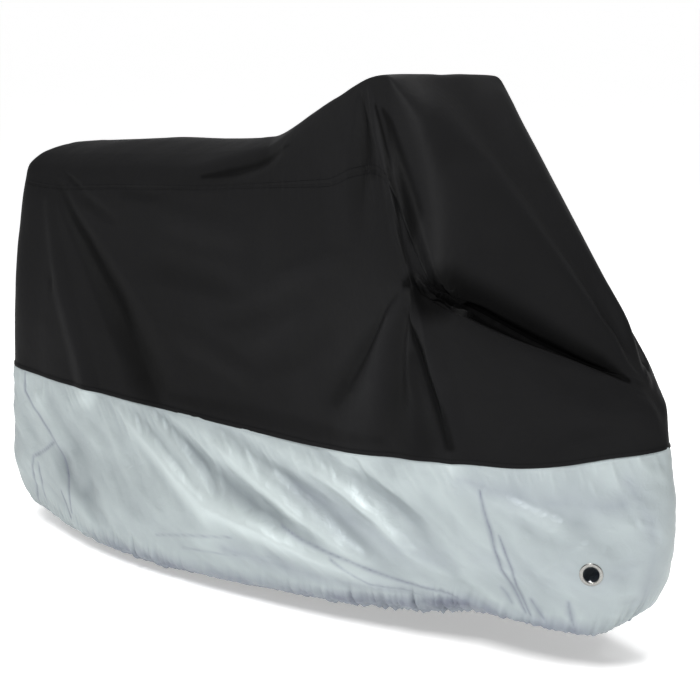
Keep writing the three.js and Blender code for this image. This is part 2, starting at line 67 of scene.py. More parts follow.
# name, way along the cloth, how smoothly the cloth runs past the rib above its flank, softness
# at crown, brow, seam and chest, and the points from the spine down to the hem
RIBS = (
    ("rear centre", 0, 1, (0.8, 0.9, 0.8, 1), ((-1392, 0, 1187), (-1438, 0, 1150), (-1450, 0, 1118),
        (-1456, 0, 1086), (-1484, 0, 900), (-1502, 0, 700), (-1514, 0, 525), (-1522, 0, 370),
        (-1507, 0, 200), (-1447, 0, 100), (-1402, 0, 80))),
    ("rear corner", 200, 1, (0.8, 0.9, 0.8, 1), ((-1362, 0, 1193), (-1385, 132, 1168),
        (-1397, 170, 1138), (-1400, 186, 1088), (-1426, 206, 902), (-1447, 212, 700),
        (-1462, 212, 522), (-1474, 220, 370), (-1462, 224, 190), (-1400, 198, 90),
        (-1358, 156, 70))),
    ("rear side", 360, 1, (0.8, 0.9, 0.8, 1), ((-1280, 0, 1200), (-1280, 130, 1170),
        (-1280, 170, 1138), (-1280, 195, 1080), (-1290, 220, 900), (-1295, 235, 700),
        (-1300, 240, 512), (-1300, 255, 360), (-1280, 270, 175), (-1240, 245, 70),
        (-1210, 200, 50))),
    ("seat rear", 660, 1, (0.8, 0.9, 0.8, 1), ((-980, 0, 1222), (-980, 130, 1190),
        (-980, 170, 1158), (-980, 195, 1100), (-980, 215, 910), (-990, 235, 700), (-1000, 255, 505),
        (-990, 285, 350), (-980, 320, 170), (-970, 290, 55), (-960, 240, 30))),
    ("seat middle", 960, 1, (0.8, 0.9, 0.8, 1), ((-690, 0, 1237), (-690, 125, 1205),
        (-690, 168, 1175), (-690, 195, 1120), (-690, 210, 920), (-695, 230, 700), (-700, 265, 502),
        (-690, 300, 340), (-680, 335, 170), (-680, 295, 55), (-680, 240, 30))),
    ("ramp foot", 1200, 0.1, (0.8, 0.9, 0.8, 1), ((-540, 0, 1252), (-490, 120, 1232),
        (-465, 168, 1195), (-445, 200, 1143), (-430, 225, 930), (-425, 245, 710), (-420, 270, 500),
        (-410, 300, 340), (-410, 325, 180), (-410, 285, 70), (-410, 230, 45))),
    ("ramp middle", 1460, 0.5, (0.6, 0.9, 0.8, 1), ((-260, 0, 1350), (-250, 165, 1357),
        (-235, 200, 1268), (-210, 225, 1168), (-155, 285, 950), (-140, 285, 710), (-140, 270, 502),
        (-140, 285, 350), (-140, 300, 190), (-140, 260, 90), (-140, 210, 65))),
    ("top corner and grip", 1720, 0.25, (0.1, 0.9, 0.8, 0.6), ((0, 0, 1431), (-25, 213, 1436),
        (-10, 236, 1320), (15, 270, 1200), (175, 400, 979), (145, 355, 740), (105, 270, 522),
        (110, 265, 370), (110, 265, 220), (110, 230, 130), (110, 190, 100))),
    ("past the grip", 1780, 0.9, (0.9, 0.9, 1, 0.6), ((73, 0, 1343), (67, 205, 1336),
        (89, 262, 1153), (166, 335, 1008), (202, 383, 962), (190, 345, 740), (153, 252, 523),
        (165, 252, 362), (165, 253, 230), (160, 225, 140), (160, 185, 112))),
    ("upper slope", 1850, 0.9, (0.9, 0.6, 1, 0.5), ((158, 0, 1242), (147, 180, 1244),
        (186, 300, 1008), (206, 309, 958), (235, 360, 939), (234, 330, 739), (196, 235, 524),
        (217, 240, 354), (220, 242, 240), (210, 220, 150), (210, 180, 125))),
    ("middle slope", 1980, 1, (0.9, 0.6, 0.85, 0.4), ((285, 0, 1098), (278, 138, 1097),
        (284, 248, 936), (282, 238, 893), (326, 290, 876), (355, 270, 710), (330, 200, 527),
        (347, 210, 349), (350, 212, 230), (350, 200, 140), (350, 165, 130))),
    ("lower slope", 2120, 1, (0.9, 0.7, 0.7, 0.35), ((402, 0, 955), (405, 92, 956), (387, 165, 862),
        (386, 158, 823), (420, 200, 820), (475, 200, 687), (440, 155, 542), (456, 170, 350),
        (460, 170, 220), (460, 160, 130), (460, 135, 120))),
    ("foot of the slope", 2250, 1, (0.9, 0.9, 0.7, 0.5), ((492, 0, 837), (502, 50, 845),
        (493, 90, 790), (491, 85, 769), (515, 112, 766), (555, 110, 677), (542, 100, 567),
        (561, 120, 372), (565, 120, 230), (550, 110, 130), (535, 90, 120))),
    ("nose corner", 2340, 1, (1, 0.9, 0.9, 0.8), ((535, 0, 780), (540, 28, 779), (544, 36, 764),
        (550, 42, 752), (565, 52, 728), (600, 52, 675), (614, 50, 580), (636, 60, 420),
        (632, 60, 270), (598, 50, 170), (570, 40, 145))),
    ("nose centre", 2420, 1, (1, 0.9, 1, 1), ((550, 0, 762), (555, 0, 755), (562, 0, 748),
        (570, 0, 736), (584, 0, 712), (620, 0, 660), (640, 0, 585), (660, 0, 435), (652, 0, 285),
        (614, 0, 180), (580, 0, 150))),
)
LEFT_CHANGES = {
    "ramp middle": {"crown": (-250, 160, 1340), "brow": (-235, 195, 1255)},
    "top corner and grip": {
        "crown": (3, 225, 1415), "brow": (25, 262, 1315), "seam": (70, 305, 1190),
        "chest": (165, 395, 980)},
    "past the grip": {"crown": (67, 208, 1336), "seam": (150, 325, 1020), "chest": (185, 372, 965)},
    "upper slope": {"crown": (147, 180, 1248), "chest": (230, 355, 939)},
    "middle slope": {"chest": (312, 280, 876)},
    "foot of the slope": {"crown": (502, 50, 853)},
}
AT = np.array([rib[1] for rib in RIBS], float)
LENGTH = AT[-1]

# The taut cloth is surveyed this far apart, in millimetres, to lay the folds' lines on it
SURVEY = 10
SURVEY_ALONG = np.arange(0, LENGTH + 1, SURVEY)
SURVEY_DOWN = np.arange(0, LEVELS["hem"] + 1, SURVEY, dtype=float)

# A fold's path is points of (along, down, depth outwards, half width), all in millimetres. The
# main folds: name, sharpness (1 a cusp, 0 a soft swell), lean (widens the flank on one side), path
MAIN_RIGHT = (
    ("rear drape", 0.55, 1.7, ((400, 250, -6, 18), (520, 390, -22, 36), (660, 570, -32, 60),
        (790, 730, -20, 80), (880, 810, -6, 80), (950, 900, 0, 60))),
    ("beside the rear drape", 0.2, 1, ((360, 290, 4, 30), (450, 540, 10, 45), (570, 830, 12, 60))),
    ("seat end", 0.2, 1, ((1280, 160, 0, 40), (1170, 170, -16, 60), (1020, 210, -14, 55),
        (900, 230, 0, 30))),
    ("behind the top corner", 0.4, 1, ((1610, 140, -4, 12), (1620, 180, -16, 30),
        (1620, 230, -20, 48), (1600, 310, -6, 60), (1580, 370, 0, 60))),
    ("top corner to grip", 0.6, 1, ((1650, 135, 3, 12), (1680, 200, 9, 22), (1720, 250, 10, 24),
        (1730, 310, 9, 26), (1720, 390, 4, 20))),
    ("grip, rear fold", 0.3, 1.6, ((1700, 430, 3, 20), (1660, 480, 14, 38), (1600, 620, 20, 60),
        (1510, 760, 10, 75), (1490, 880, 0, 60))),
    ("grip, hollow", 0.2, 1, ((1710, 450, -4, 14), (1680, 530, -16, 36), (1670, 660, -22, 60),
        (1640, 770, -10, 70), (1640, 890, 0, 60))),
    ("grip, front fold", 0.7, 1, ((1730, 430, 4, 16), (1770, 500, 16, 34), (1820, 620, 22, 50),
        (1840, 780, 12, 60), (1840, 890, 0, 50))),
    ("skirt, long fold", 0.5, 1, ((660, 830, 3, 20), (860, 930, 13, 42), (1080, 1050, 19, 58),
        (1230, 1080, 18, 58), (1520, 1160, 9, 50), (1660, 1210, 0, 40))),
    ("skirt, first hollow", 0.2, 1, ((840, 820, -2, 20), (1040, 930, -12, 45),
        (1200, 1010, -13, 50), (1400, 1080, -8, 45), (1580, 1150, 0, 40))),
    ("skirt, second fold", 0.3, 1, ((960, 820, 2, 18), (1150, 910, 10, 36), (1330, 1010, 12, 40),
        (1500, 1090, 6, 36), (1640, 1140, 0, 30))),
    ("skirt, second hollow", 0.3, 1, ((1080, 820, -2, 18), (1290, 910, -10, 34),
        (1470, 1010, -11, 38), (1640, 1120, -4, 36), (1750, 1200, 0, 30))),
    ("skirt, third fold", 0.3, 1, ((1220, 820, 2, 18), (1410, 890, 9, 32), (1590, 990, 11, 38),
        (1750, 1120, 5, 36), (1830, 1220, 0, 30))),
    ("skirt, third hollow", 0.3, 1, ((1380, 820, -2, 16), (1550, 900, -8, 30), (1710, 1000, -9, 34),
        (1830, 1130, -4, 30))),
    ("rear skirt swell", 0.1, 1, ((350, 900, 4, 40), (460, 1000, 10, 50), (570, 1080, 8, 50))),
)
# The fine folds: sharpness, path
FINE_RIGHT = (
    # Hollows of the rear face and skirt, a pucker, a patch and a line at the rear corner
    (0, ((100, 850, -3, 60), (180, 960, -7, 80), (230, 1080, -4, 70))),
    (0, ((400, 930, -4, 60), (500, 1040, -15, 90), (620, 1130, -9, 80), (700, 1180, 0, 60))),
    (0.3, ((390, 190, 0, 10), (440, 218, -6, 13), (505, 252, -3, 13))),
    (0.2, ((465, 252, 0, 20), (525, 280, -6, 26), (605, 320, -5, 26), (660, 342, 0, 20))),
    (0.5, ((398, 460, 0, 8), (404, 510, -4, 12), (404, 577, 0, 8))),
    # Under the strip's seam, beside the grip and on the slope
    (0.1, ((680, 264, -4, 25), (780, 269, -8, 30), (880, 264, 0, 25))),
    (0.8, ((1700, 470, -4, 10), (1760, 560, -10, 18), (1808, 660, -12, 24), (1834, 796, -4, 26))),
    (0.1, ((1658, 454, -2, 16), (1590, 538, -9, 30), (1496, 640, -9, 40), (1422, 722, 0, 40))),
    (0, ((1786, 112, 0, 40), (1847, 118, -5, 56), (1910, 90, 0, 40))),
    (0, ((2164, 67, 0, 20), (2210, 67, -4, 30), (2265, 90, 0, 20))),
    # Swells and hollows of the side panel, in turn
    (0, ((790, 314, 0, 50), (930, 336, 7, 60), (1110, 353, 6, 55), (1180, 359, 0, 40))),
    (0, ((694, 437, 0, 50), (856, 443, -7, 60), (1045, 460, -7, 60), (1166, 471, 0, 40))),
    (0, ((1166, 488, 0, 40), (1314, 432, 7, 50), (1470, 392, 6, 45), (1530, 381, 0, 30))),
    (0, ((1031, 566, 0, 36), (1119, 549, -6, 44), (1227, 510, -6, 44), (1294, 482, 0, 30))),
    (0, ((1119, 628, 0, 36), (1240, 583, 6, 44), (1348, 516, 6, 44), (1409, 482, 0, 30))),
    (0, ((1193, 673, 0, 40), (1308, 617, -6, 50), (1456, 533, -6, 50), (1530, 482, 0, 36))),
    (0, ((849, 606, 0, 40), (1004, 628, 5, 50), (1146, 678, 5, 50), (1213, 712, 0, 40))),
    # Streaks and grooves that run forward and down from the colour seam
    (0.5, ((822, 824, 1.2, 12.5), (930, 891, 4.2, 20), (1025, 959, 4.8, 20),
        (1100, 1032, 1.8, 15))),
    (0.5, ((748, 830, -1.2, 10), (849, 886, -3.6, 15), (991, 970, -4.2, 15),
        (1072, 1032, -1.2, 12.5))),
    (0.5, ((903, 824, 1.2, 12.5), (998, 858, 4.2, 18.8), (1079, 919, 4.8, 18.8),
        (1112, 1009, 1.8, 15))),
    (0.5, ((849, 824, -1.2, 10), (964, 880, -3.6, 13.8), (1052, 942, -4.2, 13.8),
        (1100, 998, -1.2, 11.2))),
    (0.5, ((1065, 824, -1.2, 12.5), (1186, 880, -3.6, 20), (1321, 925, -4.2, 25),
        (1510, 992, -3.6, 27.5), (1638, 1026, 0, 20))),
    (0.4, ((1153, 822, 1.2, 12.5), (1227, 836, 2.4, 17.5), (1348, 891, 4.2, 25),
        (1510, 936, 4.8, 27.5), (1652, 1043, 4.2, 25), (1692, 1082, 1.2, 17.5))),
    (0.4, ((1436, 824, -1.2, 15), (1517, 847, -3, 22.5), (1631, 936, -4.2, 27.5),
        (1712, 981, -2.4, 25), (1780, 1026, 0, 17.5))),
    # The front: a fold, two grooves and a soft crease
    (0.1, ((1914, 891, 1, 17.5), (1975, 903, 3, 27.5), (2056, 919, 3.2, 32.5), (2120, 940, 3, 32.5),
        (2160, 965, 1, 25))),
    (0.4, ((1948, 919, -1.2, 17.5), (2009, 948, -3.6, 25), (2076, 970, -3.6, 25),
        (2137, 987, -1.2, 17.5))),
    (0.4, ((1989, 886, -0.6, 12.5), (2076, 908, -2.4, 20), (2171, 936, -2.4, 20),
        (2211, 948, -0.6, 12.5))),
    (0.6, ((2265, 891, -0.6, 10), (2299, 959, -2.4, 15), (2319, 998, -0.6, 10))),
    # Short streaks, a soft crease and a dimple
    (0.5, ((2063, 1065, 0.6, 10), (2090, 1043, 1.8, 12.5), (2117, 1032, 0.6, 10))),
    (0.5, ((1793, 914, -0.6, 12.5), (1827, 953, -2.4, 17.5), (1840, 998, -0.6, 12.5))),
    (0.6, ((1665, 1026, 0.6, 8.8), (1692, 1048, 2.4, 12.5), (1712, 1071, 0.6, 8.8))),
    (0.6, ((1699, 1032, 0.6, 8.8), (1726, 1048, 2.4, 12.5), (1753, 1065, 0.6, 8.8))),
    (0.6, ((1780, 1004, 0.6, 8.8), (1793, 1015, 1.8, 11.2), (1807, 1026, 0.6, 8.8))),
    (0.6, ((1341, 886, -0.6, 10), (1355, 903, -2.4, 12.5), (1362, 919, -0.6, 10))),
    (0.4, ((1517, 1065, 0.6, 15), (1544, 1088, 2.4, 20), (1564, 1110, 0.6, 15))),
)
# Crisp short streaks of the silver cloth: where each starts, where it is highest and where it ends
CRISP_STREAKS = (
    ((2225, 952), (2250, 960), (2275, 976)),
    ((2145, 1004), (2175, 988), (2200, 976)),
    ((1905, 832), (1930, 844), (1955, 852)),
    ((1625, 896), (1640, 916), (1655, 936)),
    ((1680, 1060), (1710, 1068), (1735, 1076)),
    ((2195, 856), (2210, 880), (2225, 904)),
    ((2305, 952), (2315, 976), (2320, 1000)),
    ((2075, 952), (2100, 948), (2120, 940)),
    ((1350, 956), (1370, 964), (1390, 972)),
    ((1455, 1056), (1490, 1080), (1525, 1104)),
)
FINE_RIGHT += tuple(
    (0.6, ((*start, 0, 6), (*top, 3.2, 9), (*end, 0, 6))) for start, top, end in CRISP_STREAKS)
# Painted shade of the black cloth: a dark tone laid along its deep hollows, creases and the
# place under the grip, where shade falls: name, strength of the dark tone, path
SHADED_HOLLOWS_RIGHT = (
    ("grip to nose", 1, ((1700, 420, -1, 16), (1765, 400, -3, 64), (1865, 248, -4, 86),
        (1960, 248, -4, 90), (2065, 248, -4, 84), (2160, 252, -4, 70), (2250, 232, -3, 46),
        (2335, 324, 0, 12))),
    ("behind the top crease", 0.45, ((1625, 144, 0, 6), (1640, 188, -2, 16), (1655, 224, -3, 26),
        (1665, 256, 0, 20))),
    ("top crease", 0.7, ((1700, 164, 0, 8), (1735, 180, -2, 20), (1755, 192, -3, 30),
        (1770, 200, -3, 32), (1760, 248, -1, 14))),
    ("top crease line", 0.8, ((1675, 160, 0, 5), (1720, 224, -2, 9), (1735, 248, -3, 10),
        (1730, 320, -2, 9), (1725, 380, 0, 5))),
    ("left of the grip", 0.4, ((1680, 444, 0, 8), (1615, 516, -1, 24), (1535, 612, -1, 34),
        (1460, 696, 0, 28))),
    ("right of the grip", 0.85, ((1705, 484, -1, 8), (1760, 544, -4, 18), (1795, 612, -6, 20),
        (1825, 692, -6, 22), (1840, 780, -3, 20))),
    ("under the grip", 0.4, ((1730, 560, 0, 16), (1735, 628, 0, 55), (1730, 704, 0, 85),
        (1720, 768, 0, 85))),
    ("rear drape", 0.3, ((430, 260, 0, 8), (510, 376, 0, 26), (600, 508, 0, 46), (715, 652, 0, 70),
        (835, 764, 0, 80))),
    ("over the colour seam", 0.25, ((915, 784, 0, 16), (1150, 780, 0, 34), (1375, 780, 0, 34),
        (1605, 780, 0, 16))),
    ("seat end", 0.6, ((970, 216, 0, 8), (1095, 196, 0, 24), (1190, 168, 0, 26),
        (1300, 156, 0, 8))),
)
# Creases of the silver cloth, dark lines that are partly its cracked coat and partly painted shade
# in their valleys, and broad rows of painted shade: sharpness, strength of the dark tone, path
CREASES_AND_SHADE_RIGHT = (
    # Broad painted shade: under the long fold, in the middle, at the front and on the nose
    (0, 0.4, ((1135, 1156, 0, 50), (1365, 1180, 0, 75), (1600, 1204, 0, 75), (1870, 1252, 0, 40))),
    (0, 0.3, ((1330, 940, 0, 60), (1480, 1000, 0, 150), (1640, 1060, 0, 160), (1800, 1110, 0, 90))),
    (0, 0.35, ((1860, 860, 0, 60), (2000, 885, 0, 120), (2140, 900, 0, 120), (2280, 920, 0, 90))),
    (0, 0.2, ((1900, 1060, 0, 90), (2050, 1090, 0, 170), (2200, 1090, 0, 170),
        (2330, 1080, 0, 110))),
    (0, 0.3, ((2290, 880, 0, 60), (2340, 980, 0, 100), (2350, 1100, 0, 100), (2340, 1220, 0, 70))),
    # Lines over and under the long fold
    (0.9, 0.85, ((1301, 1054, -0.8, 7.6), (1368, 1082, -2, 11.5), (1523, 1121, -2.4, 11.5),
        (1645, 1166, -2, 12.8), (1726, 1194, -1.6, 12.8), (1813, 1222, -1.6, 12.8),
        (1881, 1256, -0.8, 10.2))),
    (0.8, 0.7, ((1463, 1121, -0.4, 10.2), (1577, 1189, -1.2, 12.8), (1672, 1205, -1.2, 12.8),
        (1746, 1239, 0, 10.2))),
    (0.9, 0.5, ((903, 1166, -0.4, 6.4), (1025, 1138, -0.8, 7.6), (1159, 1116, -0.4, 6.4))),
    (0.9, 0.45, ((998, 1183, -0.4, 6.4), (1153, 1172, -0.8, 7.6), (1301, 1149, -0.4, 6.4))),
    # The front: two long creases and three smudges
    (0.9, 1, ((1908, 880, -1.2, 10.2), (1914, 919, -2.4, 12.8), (1928, 970, -2.8, 12.8),
        (1935, 1009, -2.8, 12.8), (1955, 1088, -2.8, 12.8), (1989, 1161, -2.4, 12.8),
        (2022, 1222, -1.2, 10.2))),
    (0.9, 1, ((1948, 976, -0.8, 7.6), (1962, 1020, -2, 10.2), (1982, 1082, -2.4, 10.2),
        (1995, 1149, -2.4, 10.2), (2022, 1200, -1.6, 10.2), (2036, 1228, -0.8, 7.6))),
    (0.5, 0.7, ((1955, 1161, -0.4, 12.8), (1968, 1177, -1.6, 17.8), (1982, 1200, -0.4, 12.8))),
    (0.5, 0.8, ((2036, 1177, -0.4, 12.8), (2056, 1205, -2, 17.8), (2076, 1233, -0.8, 12.8))),
    (0.5, 0.8, ((2144, 1166, -0.4, 12.8), (2150, 1200, -2, 20.4), (2164, 1250, -0.8, 12.8))),
    # The rear corner
    (0.9, 1, ((283, 830, -0.8, 7.6), (290, 891, -2, 10.2), (330, 936, -0.8, 7.6))),
    (0.9, 1, ((330, 936, -0.4, 7.6), (404, 987, -1.2, 8.9), (431, 1009, -1.6, 8.9),
        (384, 1043, -1.6, 8.9), (324, 1076, -2, 10.2), (317, 1116, -2.4, 10.2),
        (317, 1166, -2.4, 10.2), (290, 1240, -2, 10.2), (337, 1267, -0.8, 7.6))),
    (0.9, 1, ((344, 1088, -0.8, 7.6), (351, 1138, -2, 10.2), (344, 1217, -0.8, 7.6))),
    (0.9, 1, ((431, 1009, -0.8, 7.6), (465, 1043, -1.6, 8.9), (492, 1088, -2, 10.2),
        (506, 1144, -2.4, 10.2), (499, 1194, -1.2, 7.6))),
    (0.9, 1, ((458, 1138, -0.8, 7.6), (472, 1177, -2, 8.9), (485, 1217, -0.8, 7.6))),
)
MAIN_LEFT = (
    ("rear drape", 0.4, 1.5, ((380, 250, -5, 20), (470, 400, -18, 40), (590, 600, -26, 62),
        (680, 760, -14, 70), (740, 880, 0, 60))),
    ("second rear drape", 0.3, 1, ((430, 250, 3, 20), (620, 380, 10, 40), (820, 540, 14, 60),
        (1000, 700, 6, 60), (1100, 800, 0, 50))),
    ("seat end", 0.2, 1, ((1260, 150, 0, 40), (1150, 190, -12, 55), (1000, 230, -10, 50),
        (880, 260, 0, 40))),
    ("behind the top corner", 0.4, 1, ((1630, 140, -4, 14), (1610, 200, -15, 34),
        (1600, 280, -12, 50), (1570, 380, 0, 60))),
    ("grip, rear fold", 0.3, 1.4, ((1700, 430, 3, 20), (1640, 520, 14, 42), (1550, 660, 18, 62),
        (1450, 790, 8, 70), (1400, 890, 0, 60))),
    ("grip, hollow", 0.2, 1, ((1715, 440, -4, 14), (1700, 540, -14, 36), (1690, 680, -18, 56),
        (1680, 790, -8, 60), (1680, 890, 0, 50))),
    ("grip, front fold", 0.6, 1, ((1735, 440, 4, 16), (1800, 540, 14, 36), (1870, 680, 16, 48),
        (1900, 790, 8, 50), (1910, 870, 0, 40))),
    ("skirt, long fold", 0.4, 1, ((560, 830, 3, 20), (760, 940, 12, 42), (960, 1040, 17, 56),
        (1180, 1100, 12, 54), (1380, 1170, 0, 40))),
    ("skirt, first hollow", 0.2, 1, ((760, 820, -2, 20), (960, 920, -11, 44), (1160, 1010, -12, 48),
        (1380, 1090, 0, 40))),
    ("skirt, second fold", 0.3, 1, ((1000, 820, 2, 18), (1190, 920, 11, 38), (1360, 1030, 10, 42),
        (1500, 1140, 0, 34))),
    ("skirt, second hollow", 0.3, 1, ((1180, 820, -2, 18), (1360, 920, -10, 36),
        (1530, 1040, -9, 40), (1650, 1160, 0, 30))),
    ("skirt, third fold", 0.3, 1, ((1360, 820, 2, 18), (1530, 910, 10, 34), (1690, 1030, 9, 40),
        (1800, 1170, 0, 30))),
    ("front fold", 0.3, 1, ((1900, 880, 2, 18), (1990, 940, 8, 30), (2090, 970, 5, 32),
        (2140, 985, 0, 28))),
)
FINE_LEFT = (
    # Rear skirt hollow and the grip's crease
    (0, ((400, 930, -3, 60), (500, 1040, -9, 90), (620, 1130, -6, 80), (700, 1180, 0, 60))),
    (0.8, ((1720, 470, -4, 10), (1790, 580, -9, 18), (1850, 700, -9, 22), (1880, 800, -3, 22))),
    # Swells and a hollow of the side panel
    (0, ((760, 330, 0, 50), (900, 360, 7, 60), (1080, 380, 6, 55), (1180, 390, 0, 40))),
    (0, ((1120, 520, 0, 40), (1280, 450, 7, 50), (1430, 400, 6, 45), (1520, 390, 0, 30))),
    (0, ((900, 620, 0, 40), (1080, 600, -7, 50), (1260, 540, -6, 46), (1380, 480, 0, 30))),
    # Streaks and grooves under the colour seam
    (0.5, ((690, 824, 1.2, 12.5), (800, 900, 4.2, 20), (900, 970, 4.2, 20), (980, 1040, 1.2, 15))),
    (0.5, ((640, 826, -1.2, 10), (750, 905, -3.6, 15), (860, 985, -3.6, 15),
        (940, 1040, -1.2, 12.5))),
    (0.5, ((860, 824, 1.2, 12.5), (960, 880, 4.2, 18.8), (1050, 950, 4.2, 18.8),
        (1120, 1030, 1.2, 15))),
    (0.4, ((1500, 824, -1.2, 15), (1600, 880, -3.6, 22.5), (1700, 960, -3, 25),
        (1780, 1030, 0, 17.5))),
    (0.4, ((1950, 930, -1.2, 17.5), (2020, 960, -3.6, 25), (2100, 990, -1.2, 17.5))),
)
# Painted shade of the left side's black cloth, as on the right
SHADED_HOLLOWS_LEFT = (
    ("grip to nose", 1, ((1710, 420, -1, 14), (1780, 392, -3, 50), (1865, 250, -4, 80),
        (1960, 248, -4, 86), (2065, 248, -4, 80), (2160, 252, -4, 66), (2250, 240, -3, 44),
        (2335, 320, 0, 12))),
    ("top crease", 0.7, ((1690, 160, 0, 8), (1725, 190, -2, 20), (1745, 230, -3, 28),
        (1740, 300, -2, 20), (1730, 380, 0, 8))),
    ("left of the grip", 0.4, ((1680, 444, 0, 8), (1600, 530, -1, 24), (1500, 640, -1, 34),
        (1420, 740, 0, 28))),
    ("right of the grip", 0.8, ((1720, 480, -1, 8), (1790, 580, -4, 20), (1840, 680, -5, 22),
        (1870, 780, -3, 20))),
    ("rear drape", 0.3, ((410, 260, 0, 8), (480, 400, 0, 36), (590, 600, 0, 60),
        (690, 770, 0, 76))),
    ("seat end", 0.6, ((960, 220, 0, 8), (1080, 200, 0, 24), (1180, 170, 0, 26),
        (1290, 156, 0, 8))),
)
# The left side's crease lines, partly cracked coat and partly painted shade in their valleys
CREASES_AND_SHADE_LEFT = (
    # Over the long fold, at the front, and two at the rear
    (0.9, 0.85, ((1100, 1060, -0.8, 7.6), (1240, 1110, -2, 11.5), (1400, 1160, -2, 11.5),
        (1560, 1200, -1.6, 12.8), (1700, 1240, -0.8, 10.2))),
    (0.9, 1, ((1910, 890, -1.2, 10.2), (1925, 960, -2.4, 12.8), (1950, 1060, -2.8, 12.8),
        (1985, 1150, -2.4, 12.8), (2020, 1220, -1.2, 10.2))),
    (0.9, 1, ((300, 860, -0.8, 7.6), (320, 920, -2, 10.2), (380, 990, -1.6, 8.9),
        (340, 1060, -2, 10.2), (330, 1160, -2, 10.2), (350, 1240, -0.8, 7.6))),
    (0.9, 1, ((460, 1010, -0.8, 7.6), (500, 1090, -2, 10.2), (510, 1180, -1.2, 7.6))),
)
FOLDS = {
    RIGHT: (MAIN_RIGHT, FINE_RIGHT, SHADED_HOLLOWS_RIGHT, CREASES_AND_SHADE_RIGHT),
    LEFT: (MAIN_LEFT, FINE_LEFT, SHADED_HOLLOWS_LEFT, CREASES_AND_SHADE_LEFT),
}
FOLD_STEPS = 5
HOLLOW_SHARPNESS = 0.2
# A fold whose path starts below this level hangs from the colour seam, and shows from there on
SEAM_FOLD = 810
SEAM_FADE = (812, 838)

# Small gathers under the colour seam: from and to along the cloth, spacing, length, how far each
# leans forward for its length, depth and half width
GATHERS = (
    (0, 420, 36, 90, 0.15, 3, 9),
    (430, 1240, 25, 120, 0.8, 3.6, 10),
    (1240, 1900, 36, 95, 0.7, 3, 9),
    (1940, 2400, 32, 70, 0.35, 3, 9),
)
GATHER_SEED = {RIGHT: 41, LEFT: 43}
CRUMPLE_SEED = {RIGHT: 100, LEFT: 200}
# Crumple of each cloth: height and size across in millimetres, stretch along, number of its seed
UPPER_CRUMPLE = ((2.0, 150, 1.3, 5), (0.8, 62, 1, 6), (0.25, 26, 1, 7))
LOWER_CRUMPLE = ((1.3, 46, 0.8, 1), (0.6, 20, 0.8, 2))
# The lower crumple leans forward this far for its length; the shift keeps its place positive
CRUMPLE_SLANT = 0.9
SLANT_SHIFT = 1400
# Wavelengths in millimetres of the hem's ruffles and of the puckers along the strip's seam
HEM_WAVES = (17, 23, 31, 47)
PUCKER_WAVES = (15, 22, 33)
# Levels over which the hem is drawn in, its edge rolls, its edge and a band above it are darkened
# with painted shade, and over which the upper cloth starts to lie on the band
HEM_DRAWN = (1165, 1285)
HEM_EDGE = (1312, 1332)
HEM_EDGE_SHADE = (1318, 1332)
HEM_SHADE_BAND = (1200, 1270)
OVERLAP = (808, 818)
# Heights in millimetres of the rolled edge, the overlap, the puckers and both seams' grooves
HEM_ROLL = 1.6
OVERLAP_RISE = 2.4
PUCKER = 0.9
SEAM_GROOVE = 1.6
SEAM_DIP = 1.2
# Where the bunched cloth beside the grip is eased: from, to, easing in, easing out
POCKET_ALONG = (1735, 1925, 40, 50)
POCKET_DOWN = (235, 440, 40, 40)
POCKET_PASSES = 50
# Brings the spline of random numbers back to unit strength
TO_UNIT = 1.9
# The height in millimetres from the deepest hollow to the highest ridge that the painted light and
# shade of the folds spread over
UPPER_SPAN = 40
LOWER_SPAN = 26
SHARP_ANGLE = 70

# The eyelets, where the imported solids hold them: centre (right side, metres), outward direction
EYELET_AT = (0.52795, -0.14363, -1.14288)
EYELET_FACING = (0.43323, -0.901215, 0.011128)
# Radius of the hole in the cloth, and how far the cloth lies flat and is still drawn flatter (mm)
EYELET_HOLE = 23
EYELET_FLAT = 36
EYELET_EASE = 90
# The ring's section, in metres from the cloth's outer face
COLLAR_BASE = 0.0003
COLLAR_RISE = 0.0021
WASHER_BASE = -0.0023
WASHER_RISE = 0.0016
WASHER_INSET = 0.0012
SLEEVE_WALL = 0.0022
ARCH_FULLNESS = 0.7

# Stitches and thread, in metres, and how far down the cut the rows run. The thread's pitch is
# really 0.25 mm; it is drawn coarser so that it shows.
STITCH = 0.0045
STITCH_GAP = 0.0020
STITCH_WIDTH = 0.0014
THREAD_PITCH = 0.0016
BLACK_STITCHES = (0.2435, 0.2565, 0.8125)
SILVER_STITCHES = (0.8285,)
WHITE = (1, 1, 1, 1)

CAMERA_AT = (2.137, -3.132, 0.173)
CAMERA_TILT = 77.05
CAMERA_TURN = 38
CAMERA_LENS = 77.14
SENSOR = 36
SKY_ABOVE = 0.25
FLOOR_REACH = 900

# Lamps: name, place, what it points at (metres), size of its square, power
LAMPS = (
    ("key", (0.9, -3.7, 3.0), (-0.2, 0, -0.8), 1.6, 330),
    ("fill", (3.2, -0.4, 2.4), (0.1, 0, -0.8), 1.8, 16),
    ("back", (-0.8, 1.2, 2.8), (-0.4, 0, -0.8), 2.0, 150),
)


def linear(code):
    """A colour given as sRGB hex, as linear red, green and blue."""
    parts = [int(code[k:k + 2], 16) / 255 for k in (0, 2, 4)]
    return tuple(c / 12.92 if c <= 0.04045 else ((c + 0.055) / 1.055) ** 2.4 for c in parts)


def ease(x, start=0, stop=1):
    """Smooth step: 0 at start, 1 at stop, and 3t^2 - 2t^3 between, t being the share of the way.
    Where start is the larger, it falls as x grows."""
    t = np.clip((x - start) / (stop - start), 0, 1)
    return t * t * (3 - 2 * t)


def within(x, start, stop, rise, fall):
    """0 outside start to stop, 1 inside, easing in over rise and out over fall."""
    return ease(x, start, start + rise) * ease(x, stop, stop - fall)


def mirrored(points):
    return points * np.array([1.0, -1.0, 1.0])


def unit(vectors):
    return vectors / np.maximum(np.linalg.norm(vectors, axis=-1, keepdims=True), 1e-9)


